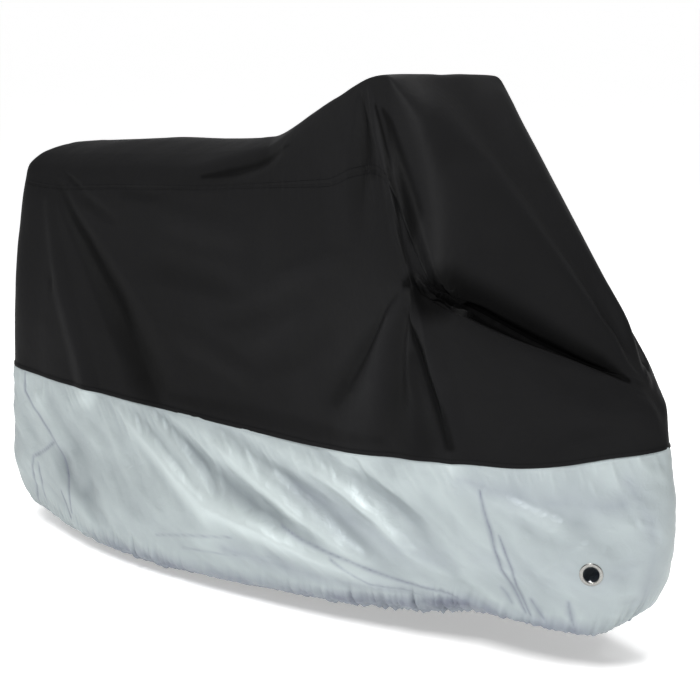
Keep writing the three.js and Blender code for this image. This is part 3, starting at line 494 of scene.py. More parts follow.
def cubic(knots, values, softness, before, after, u):
    """Cubic Hermite curve through values at uneven knots.

    The slope at a knot is a share, its softness, of the mean slope of both neighbours, weighted
    by the other's distance, and for the rest the straight slope of the span. before and after
    stand in for the points past both ends."""
    i = np.clip(np.searchsorted(knots, u, side="right") - 1, 0, len(knots) - 2)
    fit = (-1,) + (1,) * (values.ndim - 1)
    chain = np.concatenate([before[None], values, after[None]])
    places = np.concatenate([[2 * knots[0] - knots[1]], knots, [2 * knots[-1] - knots[-2]]])
    gaps = np.diff(places).reshape(fit)
    rates = np.diff(chain, axis=0) / gaps
    slopes = (rates[:-1] * gaps[1:] + rates[1:] * gaps[:-1]) / (gaps[1:] + gaps[:-1])
    straight = rates[1:-1][i]
    soft = softness[..., None]
    span = np.diff(knots)[i].reshape(fit)
    start = (straight + (slopes[i] - straight) * soft[i]) * span
    end = (straight + (slopes[i + 1] - straight) * soft[i + 1]) * span
    f = (u - knots[i]).reshape(fit) / span
    return ((2 * f ** 3 - 3 * f ** 2 + 1) * values[i] + (f ** 3 - 2 * f ** 2 + f) * start
            + (3 * f ** 2 - 2 * f ** 3) * values[i + 1] + (f ** 3 - f ** 2) * end)


def rib_table(side):
    table = np.array([rib[4] for rib in RIBS], float)
    if side == LEFT:
        names = [rib[0] for rib in RIBS]
        for name, changes in LEFT_CHANGES.items():
            for level, point in changes.items():
                table[names.index(name), list(LEVELS).index(level)] = point
    return table


def taut(side, along, down):
    """The cloth without folds, in millimetres: a cubic curve down each rib, and then cubic curves
    along the cloth through all ribs, at every along and every down."""
    lines = []
    for rib, line in zip(RIBS, rib_table(side)):
        soft = np.array([1, *rib[3], 1, BAND_SOFTNESS, 1, 1, 1, 1], float)
        lines.append(cubic(DOWN, line, soft, mirrored(line[1]), 2 * line[-1] - line[-2], down))
    across = np.stack(lines)
    under = ease(down, LEVELS["chest"], LEVELS["band"])
    bend = np.array([rib[2] for rib in RIBS], float)[:, None] * (1 - under) + under
    grid = cubic(AT, across, bend, mirrored(across[1]), mirrored(across[-2]), along)
    return (grid - (0, 0, ORIGIN_HEIGHT)) * (1, side, 1)


def outward(grid, side):
    """Unit normals of a grid: its steps along crossed with its steps down."""
    return unit(np.cross(np.gradient(grid, axis=0), np.gradient(grid, axis=1)) * side)


@functools.cache
def survey(side):
    return taut(side, SURVEY_ALONG, SURVEY_DOWN)


def on_taut(side, along, down):
    """Points of the taut cloth at pairs of along and down, between the four nearest survey
    points."""
    grid = survey(side)
    a, d = along / SURVEY, down / SURVEY
    i = np.clip(a.astype(int), 0, len(SURVEY_ALONG) - 2)
    j = np.clip(d.astype(int), 0, len(SURVEY_DOWN) - 2)
    fa, fd = (a - i)[:, None], (d - j)[:, None]
    near = grid[i, j] * (1 - fd) + grid[i, j + 1] * fd
    far = grid[i + 1, j] * (1 - fd) + grid[i + 1, j + 1] * fd
    return near * (1 - fa) + far * fa


def lift(points, normals, side, sharp, lean, path, straight=False):
    """How far one fold lifts points of the taut cloth, and how near they are to its line.

    A point's distance from the fold's line is measured in the cloth's own plane and divided by
    the half width there, giving q; straight takes the plain distance through the air instead.
    The lift is the depth times (1 - q^2)^2 for a soft fold and (1 - q)^2 for a sharp one, mixed
    by sharpness. Returns the points' numbers, their lift and 1 - q."""
    path = np.array(path, float)
    u = np.linspace(0, len(path) - 1, (len(path) - 1) * FOLD_STEPS + 1)
    along, down, depth, width = (np.interp(u, np.arange(len(path)), column) for column in path.T)
    line = on_taut(side, along, down)
    widest = width.max() * max(1, lean)
    inside = np.all((points > line.min(0) - widest) & (points < line.max(0) + widest), axis=1)
    place = np.flatnonzero(inside)
    p, n = points[place], normals[place]
    nearest = np.full(len(place), np.inf)
    height, closeness = np.zeros(len(place)), np.zeros(len(place))
    for k in range(len(line) - 1):
        run = line[k + 1] - line[k]
        away = p - line[k]
        part = np.clip(away @ run / (run @ run), 0, 1)
        away = away - part[:, None] * run
        away = away if straight else away - n * (n * away).sum(1, keepdims=True)
        distance = np.linalg.norm(away, axis=1)
        beside = np.where((np.cross(n, run) * away).sum(1) > 0, lean, 1)
        half = (width[k] + (width[k + 1] - width[k]) * part) * beside
        q = np.minimum(distance / half, 1)
        swell = (1 - sharp) * (1 - q * q) ** 2 + sharp * (1 - q) ** 2
        closer = distance < nearest
        height = np.where(closer, (depth[k] + (depth[k + 1] - depth[k]) * part) * swell, height)
        closeness = np.where(closer, 1 - q, closeness)
        nearest = np.minimum(nearest, distance)
    return place, height, closeness


def wander(along, across, cell, seed, stretch=1.0):
    """Smooth random field of unit strength: a cubic B-spline over a lattice of seeded random
    numbers, cell millimetres apart across the cloth and stretch times that along it."""
    rng = np.random.default_rng(seed)
    a = along / (cell * stretch) + 8
    c = across / cell
    c = c - c.min() + 2
    lattice = rng.standard_normal((int(a.max()) + 4, int(c.max()) + 4))

    def weights(f):
        return ((1 - f) ** 3 / 6, (3 * f ** 3 - 6 * f ** 2 + 4) / 6,
                (-3 * f ** 3 + 3 * f ** 2 + 3 * f + 1) / 6, f ** 3 / 6)

    i, j = a.astype(int), c.astype(int)
    total = np.zeros(np.broadcast(a, c).shape)
    for m, wa in enumerate(weights(a - i)):
        for n, wc in enumerate(weights(c - j)):
            total += wa * wc * lattice[i + m - 1, j + n - 1]
    return total * TO_UNIT


def crumpled(rows, a, d, seed):
    """Sum of random fields, one for each row of a table of crumple."""
    return sum(height * wander(a, d, cell, seed + n, stretch) for height, cell, stretch, n in rows)


def waves(along, periods, seed):
    """Sum of sine waves along the cloth, one for each period, with seeded phases, of unit
    height."""
    phases = np.random.default_rng(seed).uniform(0, 2 * math.pi, len(periods))
    total = sum(np.sin(2 * math.pi * along / p + f) for p, f in zip(periods, phases))
    return total / len(periods) ** 0.5


def gather_folds(side):
    """The small folds that the colour seam's stitching draws in, from the table of gathers."""
    rng = np.random.default_rng(GATHER_SEED[side])
    for start, stop, spacing, length, lean, depth, width in GATHERS:
        at = start + spacing * rng.uniform(0.3, 0.7)
        while at < stop:
            far = length * rng.uniform(0.5, 1.25)
            deep = depth * rng.uniform(0.45, 1.3)
            wide = width * rng.uniform(0.8, 1.25)
            reach = min(at + lean * far, LENGTH - 10)
            top, low = (at, 818, deep * 0.2, wide * 0.7), (reach, 820 + far, 0, wide * 1.2)
            yield 0.5, 1, (top, ((at + reach) / 2, 820 + far / 2, deep, wide), low)
            at += spacing * rng.uniform(0.6, 1.4)


def smoothed(grid, passes):
    """Grid values drawn towards their neighbours: (1, 2, 1) / 4 along and down, edges kept."""
    grid = grid.copy()
    for _ in range(passes):
        grid[1:-1] += (grid[:-2] - 2 * grid[1:-1] + grid[2:]) / 4
        grid[:, 1:-1] += (grid[:, :-2] - 2 * grid[:, 1:-1] + grid[:, 2:]) / 4
    return grid


def eased_pocket(points, a, d):
    """The bunched cloth between the grip and the slope's crease drawn into one plain hollow."""
    inside = within(a, *POCKET_ALONG) * within(d, *POCKET_DOWN)
    return points + (smoothed(points, POCKET_PASSES) - points) * inside[..., None]


def calm(normals, reach=3):
    """1 where the taut cloth is flat, falling to 0 where it turns sharply within a few cells."""
    padded = np.pad(normals, ((reach, reach), (reach, reach), (0, 0)), mode="edge")
    size = 2 * reach
    down = (padded[reach:-reach, :-size] * padded[reach:-reach, size:]).sum(-1)
    along = (padded[:-size, reach:-reach] * padded[size:, reach:-reach]).sum(-1)
    return smoothed(ease(np.minimum(down, along), 0.1, 0.8), 4)


def folded(side, points, normals, d, lower):
    """Height of all folds of the tables over the taut cloth, and the painted shade and coat cracks
    of its dark lines.
    """
    flat, facing = points.reshape(-1, 3), normals.reshape(-1, 3)
    height, wear = np.zeros(len(flat)), np.zeros(len(flat))
    main, fine, hollows, creases_and_shade = FOLDS[side]
    folds = [row[1:] for row in main] + [(sharp, 1, path) for sharp, path in fine]
    dark_lines = [(HOLLOW_SHARPNESS, strength, path) for _, strength, path in hollows]
    if lower:
        folds += gather_folds(side)
        dark_lines = creases_and_shade
    # Folds that start at the colour seam fade in below it, so that the seam stays an even line
    fade = np.broadcast_to(ease(d, *SEAM_FADE), points.shape[:2]).reshape(-1)
    for sharp, lean, path in folds:
        from_seam = path[0][1] > SEAM_FOLD
        if lower or not from_seam:
            place, lifted, _ = lift(flat, facing, side, sharp, lean, path)
            height[place] += lifted * fade[place] if from_seam else lifted
    # Painted shade: a dark tone along the black cloth's hollows and the silver cloth's creases and
    # broad shade rows
    for sharp, strength, path in dark_lines:
        place, lifted, near = lift(flat, facing, side, sharp, 1, path, straight=not lower)
        height[place] += lifted
        tone = 0.6 * near ** 4 + 0.4 * near if lower else ease(near * 1.5)
        wear[place] = np.maximum(wear[place], strength * tone)
    shape = points.shape[:2]
    return height.reshape(shape) * calm(normals), wear.reshape(shape)


def relief(side, points, normals, a, d, sizes, lower):
    """Height of all unevenness over the taut cloth, the painted shade and coat cracks of its dark
    lines and hem, and its rise, 0 in the deepest hollow and 1 on the highest ridge, all on the
    grid."""
    height, wear = folded(side, points, normals, d, lower)
    seed = CRUMPLE_SEED[side]
    centre = within(a, 0, LENGTH, 70, 50)
    if lower:
        slant = a - CRUMPLE_SLANT * (d - LEVELS["band"]) + SLANT_SHIFT
        crumple = crumpled(LOWER_CRUMPLE, slant, d, seed) * ease(d, *SEAM_FADE)
        ripple = waves(a + 0.15 * d, HEM_WAVES, seed + 3)
        ripple = ripple * (1 + 0.5 * wander(a, d * 0, 160, seed + 4))
        height += crumple * sizes.crumple + sizes.hem_ripple / MM * ease(d, *HEM_DRAWN) * ripple
        height += HEM_ROLL * ease(d, *HEM_EDGE)
        height -= SEAM_DIP * np.exp(-((d - LEVELS["band"]) / 5) ** 2)
        # Painted shade in a band above the hem, where the cloth turns under, darkest at its rolled
        # edge
        hem_shade = ease(d, *HEM_SHADE_BAND) * within(a, 430, LENGTH - 120, 250, 150)
        hem_shade = hem_shade * (0.85 + 0.15 * wander(a, d, 70, seed + 9, 2))
        wear = np.maximum(np.maximum(wear, hem_shade), 0.8 * ease(d, *HEM_EDGE_SHADE))
    else:
        # The front slope hangs tauter than the rest
        crumple = crumpled(UPPER_CRUMPLE, a, d, seed)
        crumple *= 1 - 0.6 * ease(a, 1760, 1820) * ease(d, 260, 200)
        pucker = waves(a, PUCKER_WAVES, seed + 8) * np.exp(-np.abs(d - LEVELS["seam"]) / 20)
        groove = np.exp(-((d - LEVELS["seam"]) / 3.5) ** 2)
        sides = within(a, STRIP_REAR, STRIP_NOSE, 60, 60)
        height += crumple * sizes.crumple + (PUCKER * pucker - SEAM_GROOVE * groove) * sides
        height += OVERLAP_RISE * ease(d, *OVERLAP)
        centre = centre * ease(d, 0, 40)
    span = LOWER_SPAN if lower else UPPER_SPAN
    return height * centre, wear * centre, np.clip(0.5 + height * centre / span, 0, 1)


def on_side(vector, side):
    """A place or direction of the right side's eyelet, as it is on that side."""
    return np.array(vector) * (1, -side, 1)


def flattened(points, side):
    """Points near the eyelet moved into its plane, easing out to where they were, and how far
    each is from its axis."""
    facing = on_side(EYELET_FACING, side)
    away = points - on_side(EYELET_AT, side) / MM
    out = (away * facing).sum(-1)
    distance = np.linalg.norm(away, axis=-1)
    share = ease(distance, EYELET_EASE, EYELET_FLAT)
    return points - facing * (out * share)[..., None], np.sqrt(
        np.maximum(distance ** 2 - out ** 2, 0))


class Cloth:
    """Both sides of the cloth between two levels, as one set of vertices with shared centre
    lines."""

    def __init__(self, along, down, lower, sizes):
        self.along, self.down = along, down
        a, d = along[:, None], down[None, :]
        count = len(along) * len(down)
        self.index, found = {}, []
        for n, side in enumerate(SIDES):
            points = taut(side, along, down)
            if not lower:
                points = eased_pocket(smoothed(points, 2), a, d)
            normals = outward(points, side)
            normals[0, 0], normals[-1, 0] = normals[1, 1], normals[-2, 1]
            for edge in (normals[0], normals[-1]) + (() if lower else (normals[:, 0],)):
                edge[:, 1] = 0
            normals = unit(normals)
            height, wear, rise = relief(side, points, normals, a, d, sizes, lower)
            points, reach = flattened(points + normals * height[..., None], side)
            place = np.stack(np.meshgrid(along, side * down, indexing="ij"), -1)
            values = (points, wear, rise, reach, place)
            found.append([value.reshape(count, *value.shape[2:]) for value in values])
            self.index[side] = np.arange(count).reshape(len(along), len(down)) + n * count
        shared = self.index[LEFT]
        shared[0], shared[-1] = self.index[RIGHT][0], self.index[RIGHT][-1]
        if not lower:
            shared[:, 0] = self.index[RIGHT][:, 0]
        self.points, self.wear, self.rise, self.reach, self.place = map(np.concatenate, zip(*found))

    def quads(self, inside, sides=SIDES):
        """Cells of the sides for which inside(along, down) of their middles holds, faces
        outwards."""
        a = (self.along[:-1] + self.along[1:])[:, None] / 2
        d = (self.down[:-1] + self.down[1:])[None, :] / 2
        found = []
        for side in sides:
            i = self.index[side]
            quads = np.stack([i[:-1, :-1], i[:-1, 1:], i[1:, 1:], i[1:, :-1]], -1)
            chosen = quads[np.broadcast_to(inside(a, d), quads.shape[:2])]
            found.append(chosen if side == RIGHT else chosen[:, ::-1])
        return np.concatenate(found)


def spread(*rows):
    """Grid lines from rows of (from, to, step)."""
    parts = [np.linspace(lo, hi, max(1, round((hi - lo) / step)), endpoint=False)
             for lo, hi, step in rows]
    return np.concatenate(parts + [[rows[-1][1]]])


UPPER_ALONG = spread((0, 1600, 9), (1600, 1900, 5), (1900, LENGTH, 6.5))
UPPER_DOWN = spread((0, 100, 6.5), (100, 264, 3.5), (264, 806, 6.4), (806, 824, 3))
LOWER_ALONG = spread(
    (0, 270, 6), (270, 520, 4), (520, 1890, 6.2), (1890, 2080, 3.8), (2080, LENGTH, 5))
LOWER_DOWN = spread((820, 980, 5), (980, 1160, 6), (1160, 1300, 5), (1300, 1340, 4))
FRONT_SEAM = 1930
STRIP_REAR = 200
STRIP_NOSE = 2340


@functools.cache
def upper_cloth():
    return Cloth(UPPER_ALONG, UPPER_DOWN, False, bpy.context.scene.cover_sizes)


@functools.cache
def lower_cloth():
    return Cloth(LOWER_ALONG, LOWER_DOWN, True, bpy.context.scene.cover_sizes)


def new_piece(name, points, faces, material):
    """A smooth mesh object of those points and faces, in that material."""
    mesh = bpy.data.meshes.new(name)
    mesh.from_pydata(points.tolist(), [], faces.tolist())
    mesh.materials.append(material)
    mesh.polygons.foreach_set("use_smooth", np.ones(len(faces), bool))
    piece = bpy.data.objects.new(name, mesh)
    bpy.context.collection.objects.link(piece)
    return piece


def sheet_piece(name, cloth, quads, material):
    """A sheet with two faces and a wall round its edge.

    The outer face is the chosen cells, the inner one the same points moved in by the thickness
    along the mean normal of the cells round them."""
    used, quads = np.unique(quads, return_inverse=True)
    quads = quads.reshape(-1, 4)
    points = cloth.points[used] * MM
    corners = points[quads]
    face = np.cross(corners[:, 2] - corners[:, 0], corners[:, 3] - corners[:, 1])
    normal = np.zeros_like(points)
    for corner in range(4):
        np.add.at(normal, quads[:, corner], face)
    normal /= np.linalg.norm(normal, axis=1, keepdims=True)
    edges = np.stack([quads, np.roll(quads, -1, 1)], -1).reshape(-1, 2)
    codes = edges[:, 0] * len(used) + edges[:, 1]
    rim = edges[~np.isin(codes, edges[:, 1] * len(used) + edges[:, 0])]
    under = len(used)
    walls = np.stack([rim[:, 1], rim[:, 0], rim[:, 0] + under, rim[:, 1] + under], 1)
    faces = np.concatenate([quads, quads[:, ::-1] + under, walls])
    inner = points - normal * bpy.context.scene.cover_sizes.cloth_thickness
    piece = new_piece(name, np.concatenate([points, inner]), faces, material)
    mesh = piece.data
    place = np.tile(cloth.place[used] * MM, (2, 1))[faces.reshape(-1)]
    mesh.uv_layers.new(name="cut").data.foreach_set("uv", place.astype(np.float32).reshape(-1))
    for kind, values in (("wear", cloth.wear), ("rise", cloth.rise)):
        mesh.attributes.new(kind, "FLOAT", "POINT").data.foreach_set(
            "value", np.tile(values[used], 2).astype(np.float32))
    mesh.update()
    mesh.set_sharp_from_angle(angle=math.radians(SHARP_ANGLE))
    return piece


def feed(tree, target, inputs):
    """Links each input of a shader node to an output, or sets it to a value."""
    for name, value in inputs.items():
        if isinstance(value, bpy.types.NodeSocket):
            tree.links.new(value, target.inputs[name])
        else:
            target.inputs[name].default_value = value


def node(tree, kind, inputs, out=0, **settings):
    """Adds a shader node with its settings and inputs, and gives one of its outputs."""
    made = tree.nodes.new("ShaderNode" + kind)
    for name, value in settings.items():
        setattr(made, name, value)
    feed(tree, made, inputs)
    return made.outputs[out]


def maths(tree, operation, *values):
    return node(tree, "Math", dict(enumerate(values)), operation=operation)


def carried(tree, name):
    """A value that the piece's vertices carry."""
    return node(tree, "Attribute", {}, "Fac", attribute_name=name)


def place_on(tree):
    """The place in the piece's own space, in metres."""
    return node(tree, "TexCoord", {}, "Object")


def noise(tree, scale, detail=2, distortion=0):
    inputs = {"Vector": place_on(tree), "Scale": scale, "Detail": detail, "Distortion": distortion}
    return node(tree, "TexNoise", inputs)


def blend(tree, share, first, second):
    """A colour between two, by a share from 0 to 1."""
    first, second = (
        c if isinstance(c, bpy.types.NodeSocket) else (*c, 1) for c in (first, second))
    return node(tree, "Mix", {"Factor": share, "A": first, "B": second}, "Result", data_type="RGBA")


def ranged(tree, value, low, high, start=0, stop=1, **settings):
    """The value from start to stop carried over to low to high."""
    limits = {"From Min": start, "From Max": stop, "To Min": low, "To Max": high}
    return node(tree, "MapRange", {"Value": value, **limits}, **settings)


def bump(tree, height, strength, distance, under=None):
    """A surface raised by a height, on the one under it if that is given."""
    inputs = {"Height": height, "Strength": strength, "Distance": distance}
    return node(tree, "Bump", inputs if under is None else {**inputs, "Normal": under})


def new_material(name):
    material = bpy.data.materials.new(name)
    material.use_nodes = True
    tree = material.node_tree
    return material, tree, tree.nodes["Principled BSDF"]


def cut_axes(tree):
    """The way along and down the cut, in metres."""
    split = node(tree, "SeparateXYZ", {0: node(tree, "UVMap", {}, uv_map="cut")}).node
    return split.outputs[:2]


def weave_height(tree):
    """Plain weave: the product of a wave along and a wave down the cut, of the thread's pitch."""
    turns = 2 * math.pi / THREAD_PITCH
    pair = [maths(tree, "SINE", maths(tree, "MULTIPLY", way, turns)) for way in cut_axes(tree)]
    return maths(tree, "MULTIPLY", *pair)


def stitch_mask(tree, rows):
    """1 on the stitches of rows that run along the cut at the given ways down it, else 0."""
    along, down = cut_axes(tree)
    repeat = maths(tree, "FLOORED_MODULO", along, STITCH + STITCH_GAP)
    down = maths(tree, "ABSOLUTE", down)
    near = [maths(tree, "COMPARE", down, row, STITCH_WIDTH / 2) for row in rows]
    found = functools.reduce(functools.partial(maths, tree, "MAXIMUM"), near)
    return maths(tree, "MULTIPLY", found, maths(tree, "LESS_THAN", repeat, STITCH))


def fold_light_and_patches(tree, patches):
    """How pale the cloth's colour is: mostly painted light and shade by its rise over the hollows,
    paler on ridges and darker in hollows, and partly random patches."""
    rise = maths(tree, "MULTIPLY", carried(tree, "rise"), 0.8)
    return maths(tree, "MULTIPLY_ADD", patches, 0.2, rise)


def black_polyester(name, colours):
    """Black polyester taffeta with a polyurethane coat: dull, a little mottled, faint sheen,
    with painted shade in its hollows and painted light on its ridges.
    """
    material, tree, shader = new_material(name)
    # Patches where the coat took the dye differently, 90 mm across
    patches = noise(tree, 11, 3)
    # Painted light and shade: darker in the hollows, paler on the ridges
    tone = blend(tree, fold_light_and_patches(tree, patches), linear("0f0f0f"), colours.black_cloth)
    # Painted shade, near black, along the shaded hollows
    dark = maths(tree, "MULTIPLY", carried(tree, "wear"), 0.85)
    tone = blend(tree, dark, tone, linear("020202"))
    thread = stitch_mask(tree, BLACK_STITCHES)
    low = bump(tree, weave_height(tree), 0.25, 0.00012)
    high = bump(tree, noise(tree, 60, 4), 0.5, 0.0016, low)
    feed(tree, shader, {
        "Base Color": blend(tree, thread, tone, linear("070708")),
        "Roughness": ranged(tree, patches, 0.42, 0.58),
        "Normal": bump(tree, thread, 0.6, 0.0006, high),
        "Specular IOR Level": 0.03,
    })
    return material


def silver_polyester(name, colours):
    """Polyester taffeta with an aluminium-pigment coat: satin, crinkled, dark where cracked,
    with painted shade in its hollows, creases and near the hem, and painted light on its ridges.
    """
    material, tree, shader = new_material(name)
    # Painted light and shade: darker in the hollows, paler on the ridges
    tone = blend(tree, fold_light_and_patches(tree, noise(tree, 9, 4)), linear("687074"), colours.silver_cloth)
    # Crease lines, partly cracked coat and partly painted shade, broad painted shade and the hem's
    # painted shade
    uneven = ranged(tree, noise(tree, 18, 3), 0.5, 0.95, 0.3, 0.7)
    cracked_and_shaded = maths(tree, "MULTIPLY", carried(tree, "wear"), uneven)
    tone = blend(tree, cracked_and_shaded, tone, colours.silver_crease_and_shade)
    low = bump(tree, weave_height(tree), 0.2, 0.0001)
    feed(tree, shader, {
        "Base Color": blend(tree, stitch_mask(tree, SILVER_STITCHES), tone, linear("8d959a")),
        "Normal": bump(tree, noise(tree, 38, 5, 0.6), 0.6, 0.0035, low),
        "Metallic": 0.35,
        "Roughness": 0.52,
    })
    return material


def nickel_steel(colours):
    """Nickel-plated pressed steel: bright, slightly yellow-grey, fine handling scratches."""
    material, tree, shader = new_material("nickel_plated_steel")
    rub = noise(tree, 400, 4)
    feed(tree, shader, {
        "Base Color": blend(tree, rub, colours.eyelet_metal, linear("7c7b78")),
        "Roughness": ranged(tree, rub, 0.16, 0.34),
        "Metallic": 1,
    })
    return material


def floor_paint():
    """Matt white studio floor, lit a little from inside so that it stays pale under a dark
    part."""
    material, tree, shader = new_material("matt_white_studio_floor")
    far = node(tree, "VectorMath", {0: place_on(tree)}, "Value", operation="LENGTH")
    feed(tree, shader, {
        "Base Color": blend(tree, noise(tree, 0.5), linear("f2f2f2"), linear("f7f7f7")),
        "Emission Strength": ranged(tree, far, 0.4, 0.74, 2, 8),
        "Emission Color": WHITE,
        "Roughness": 0.9,
        "Specular IOR Level": 0.1,
    })
    return material


def studio_air():
    """Light from all round: a white band at the horizon, dimmer above, so the backdrop stays
    white."""
    world = bpy.data.worlds.new("studio")
    world.use_nodes = True
    tree = world.node_tree
    up = node(tree, "SeparateXYZ", {0: node(tree, "TexCoord", {}, "Generated")}, 2)
    glow = ranged(tree, up, 1.0, SKY_ABOVE, 0.04, 0.3, interpolation_type="SMOOTHSTEP")
    feed(tree, tree.nodes["Background"], {"Strength": glow, "Color": WHITE})
    return world


CLOTHS = {
    "black_cloth": ("black_coated_polyester_taffeta", black_polyester),
    "silver_cloth": ("silver_coated_polyester_taffeta", silver_polyester),
}


def sew(name, cloth, quads, slot):
    """One sheet of the cover, in the material of its slot, which is made once."""
    stuff, maker = CLOTHS[slot]
    material = bpy.data.materials.get(stuff) or maker(stuff, bpy.context.scene.cover_colours)
    piece = sheet_piece(name + "_cloth", cloth, quads, material)
    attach(piece, BODY)
    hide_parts(name)


def measure(name, description, default):
    return bpy.props.FloatProperty(
        name=name, description=description, default=default, unit="LENGTH", precision=5)


def colour(name, description, code):
    return bpy.props.FloatVectorProperty(
        name=name, description=description, subtype="COLOR", default=linear(code))


class CoverSizes(bpy.types.PropertyGroup):
    cloth_thickness: measure("Cloth thickness", "Thickness of the sheets", 0.0012)
    crumple: bpy.props.FloatProperty(
        name="Crumple", description="Share of the small random unevenness of the cloth",
        default=1.0, subtype="FACTOR", min=0, max=2)
    hem_ripple: measure("Hem ripple", "Height of the ruffles that the elastic hem draws in", 0.003)
    eyelet_bore: measure("Eyelet bore", "Radius of the open hole of an eyelet", 0.0195)
    eyelet_rim: measure("Eyelet rim", "Outer radius of an eyelet's collar", 0.0285)


class CoverColours(bpy.types.PropertyGroup):
    black_cloth: colour("Black cloth", "Colour of the upper cloth", "181819")
    silver_cloth: colour("Silver cloth", "Colour of the lower band's coat", "b5bebe")
    # Also the colour of the silver cloth's painted shade
    silver_crease_and_shade: colour("Silver crease", "Colour where the silver coat has cracked", "5c6072")
    eyelet_metal: colour("Eyelet metal", "Colour of the eyelets' plating", "9a9a97")


def in_strip(a, d):
    return (d < LEVELS["seam"]) | (a < STRIP_REAR) | (a > STRIP_NOSE)


class COVER_OT_centre_panel(bpy.types.Operator):
    """Makes the black strip over the tail, seat, bars and front slope"""

    bl_idname = "cover.centre_panel"
    bl_label = "Centre panel"

    def execute(self, context):
        cloth = upper_cloth()
        sew("centre_panel", cloth, cloth.quads(in_strip), "black_cloth")
        return {"FINISHED"}


class COVER_OT_side_panels(bpy.types.Operator):
    """Makes the two black side pieces, from the strip's seam to the colour seam"""

    bl_idname = "cover.side_panels"
    bl_label = "Side panels"

    def execute(self, context):
        cloth = upper_cloth()
        for side, name in ((RIGHT, "side_panel_right"), (LEFT, "side_panel_left")):
            quads = cloth.quads(lambda a, d: ~in_strip(a, d), (side,))
            sew(name, cloth, quads, "black_cloth")
        return {"FINISHED"}


class COVER_OT_skirts(bpy.types.Operator):
    """Makes the silver band of both sides and the rear, with its gathered hem"""

    bl_idname = "cover.skirts"
    bl_label = "Skirts"

    def execute(self, context):
        cloth = lower_cloth()
        for side, name in ((RIGHT, "right"), (LEFT, "left")):
            quads = cloth.quads(lambda a, d: a < FRONT_SEAM, (side,))
            sew("skirt_" + name, cloth, quads, "silver_cloth")
        return {"FINISHED"}


class COVER_OT_front_band(bpy.types.Operator):
    """Makes the silver band round the nose, with its two eyelet holes"""

    bl_idname = "cover.front_band"
    bl_label = "Front band"

    def execute(self, context):
        cloth = lower_cloth()
        quads = cloth.quads(lambda a, d: a > FRONT_SEAM)
        middle = cloth.reach[quads].mean(1)
        hole, kept = quads[middle < EYELET_HOLE], quads[middle >= EYELET_HOLE]
        self.round_off(cloth, np.intersect1d(hole, kept))
        sew("skirt_front", cloth, kept, "silver_cloth")
        return {"FINISHED"}

    @staticmethod
    def round_off(cloth, edge):
        """Moves the vertices at the holes' edges onto circles of the hole's radius."""
        for side in SIDES:
            centre = on_side(EYELET_AT, side) / MM
            mine = edge[np.sign(cloth.points[edge, 1]) == side]
            away = cloth.points[mine] - centre
            away *= EYELET_HOLE / np.linalg.norm(away, axis=1, keepdims=True)
            cloth.points[mine] = centre + away


def revolve(name, profile, steps, material):
    """A closed profile of (radius, height) carried once round the Z axis, faces outwards."""
    turn = np.arange(steps) * 2 * math.pi / steps
    radius, height = np.array(profile).T
    points = np.stack([np.outer(np.cos(turn), radius), np.outer(np.sin(turn), radius),
                       np.outer(np.ones(steps), height)], -1)
    index = np.arange(steps * len(radius)).reshape(steps, -1)
    ahead, beside = np.roll(index, -1, 0), np.roll(index, -1, 1)
    quads = np.stack([index, ahead, np.roll(ahead, -1, 1), beside], -1).reshape(-1, 4)
    return new_piece(name, points.reshape(-1, 3), quads, material)


def half_round(middle, half, base, rise, angles):
    """A rounded arch of (radius, height) over a base, for the given angles."""
    return [(middle + half * math.cos(a), base + rise * math.sin(a) ** ARCH_FULLNESS)
            for a in angles]


class COVER_OT_eyelets(bpy.types.Operator):
    """Makes the two eyelets, each a rolled collar outside, a sleeve and a washer inside"""

    bl_idname = "cover.eyelets"
    bl_label = "Eyelets"

    def execute(self, context):
        sizes = context.scene.cover_sizes
        bore, rim = sizes.eyelet_bore, sizes.eyelet_rim
        steel = nickel_steel(context.scene.cover_colours)
        middle, half = (bore + rim) / 2, (rim - bore) / 2
        arc = np.linspace(0, math.pi, 15)
        collar = half_round(middle, half, COLLAR_BASE, COLLAR_RISE, arc)
        washer = half_round(middle, half - WASHER_INSET, WASHER_BASE, -WASHER_RISE, arc[::-1])
        neck = bore + SLEEVE_WALL
        profile = collar + washer + [(neck, WASHER_BASE), (neck, COLLAR_BASE)]
        for side, name in ((RIGHT, "eyelet_right"), (LEFT, "eyelet_left")):
            ring = revolve(name + "_ring", profile, 96, steel)
            facing = Vector(on_side(EYELET_FACING, side))
            turn = Vector((0, 0, 1)).rotation_difference(facing).to_matrix().to_4x4()
            turn.translation = Vector(on_side(EYELET_AT, side))
            ring.data.transform(turn)
            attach(ring, BODY)
            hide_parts(name)
        return {"FINISHED"}


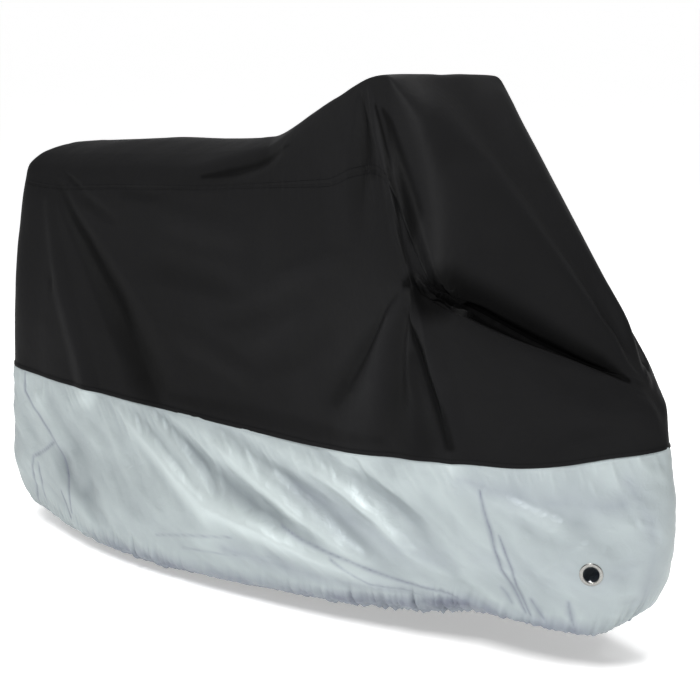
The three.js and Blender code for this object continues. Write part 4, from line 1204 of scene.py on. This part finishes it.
class COVER_OT_studio(bpy.types.Operator):
    """Makes the pale floor, the soft lights and the camera"""

    bl_idname = "cover.studio"
    bl_label = "Studio"

    def execute(self, context):
        scene = context.scene
        reach, ground = FLOOR_REACH, -ORIGIN_HEIGHT * MM
        mesh = bpy.data.meshes.new("studio_floor")
        corners = [(x * reach, y * reach, ground) for x, y in ((-1, -1), (1, -1), (1, 1), (-1, 1))]
        mesh.from_pydata(corners, [], [(0, 1, 2, 3)])
        mesh.materials.append(floor_paint())
        floor = bpy.data.objects.new("studio_floor", mesh)
        scene.collection.objects.link(floor)
        lens = bpy.data.cameras.new("photograph")
        lens.sensor_width = SENSOR
        lens.lens = CAMERA_LENS
        camera = bpy.data.objects.new("photograph", lens)
        camera.location = CAMERA_AT
        camera.rotation_euler = (math.radians(CAMERA_TILT), 0, math.radians(CAMERA_TURN))
        scene.collection.objects.link(camera)
        scene.camera = camera
        for name, place, target, size, power in LAMPS:
            light = bpy.data.lights.new(name, "AREA")
            light.size = size
            light.energy = power
            lamp = bpy.data.objects.new(name, light)
            lamp.location = place
            way = Vector(target) - Vector(place)
            lamp.rotation_euler = way.to_track_quat("-Z", "Y").to_euler()
            scene.collection.objects.link(lamp)
        scene.world = studio_air()
        scene.view_settings.view_transform = "Standard"
        return {"FINISHED"}


class COVER_PT_panel(bpy.types.Panel):
    """Lists the cover's pieces, sizes and colours"""

    bl_label = "Motorcycle cover"
    bl_idname = "COVER_PT_panel"
    bl_space_type = "VIEW_3D"
    bl_region_type = "UI"
    bl_category = "Cover"

    def draw(self, context):
        for group in (context.scene.cover_sizes, context.scene.cover_colours):
            for name in group.bl_rna.properties.keys():
                if name not in {"rna_type", "name"}:
                    self.layout.prop(group, name)
        for operator in OPERATORS:
            self.layout.operator(operator.bl_idname)


OPERATORS = (
    COVER_OT_studio, COVER_OT_centre_panel, COVER_OT_side_panels, COVER_OT_skirts,
    COVER_OT_front_band, COVER_OT_eyelets)
CLASSES = (CoverSizes, CoverColours, *OPERATORS, COVER_PT_panel)


def register():
    for kind in CLASSES:
        bpy.utils.register_class(kind)
    bpy.types.Scene.cover_sizes = bpy.props.PointerProperty(type=CoverSizes)
    bpy.types.Scene.cover_colours = bpy.props.PointerProperty(type=CoverColours)


def unregister():
    del bpy.types.Scene.cover_colours
    del bpy.types.Scene.cover_sizes
    for kind in reversed(CLASSES):
        bpy.utils.unregister_class(kind)


def main():
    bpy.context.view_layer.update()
    register()
    bpy.ops.cover.studio()
    bpy.ops.cover.centre_panel()
    bpy.ops.cover.side_panels()
    bpy.ops.cover.skirts()
    bpy.ops.cover.front_band()
    bpy.ops.cover.eyelets()
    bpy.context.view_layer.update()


if __name__ == "__main__":
    main()
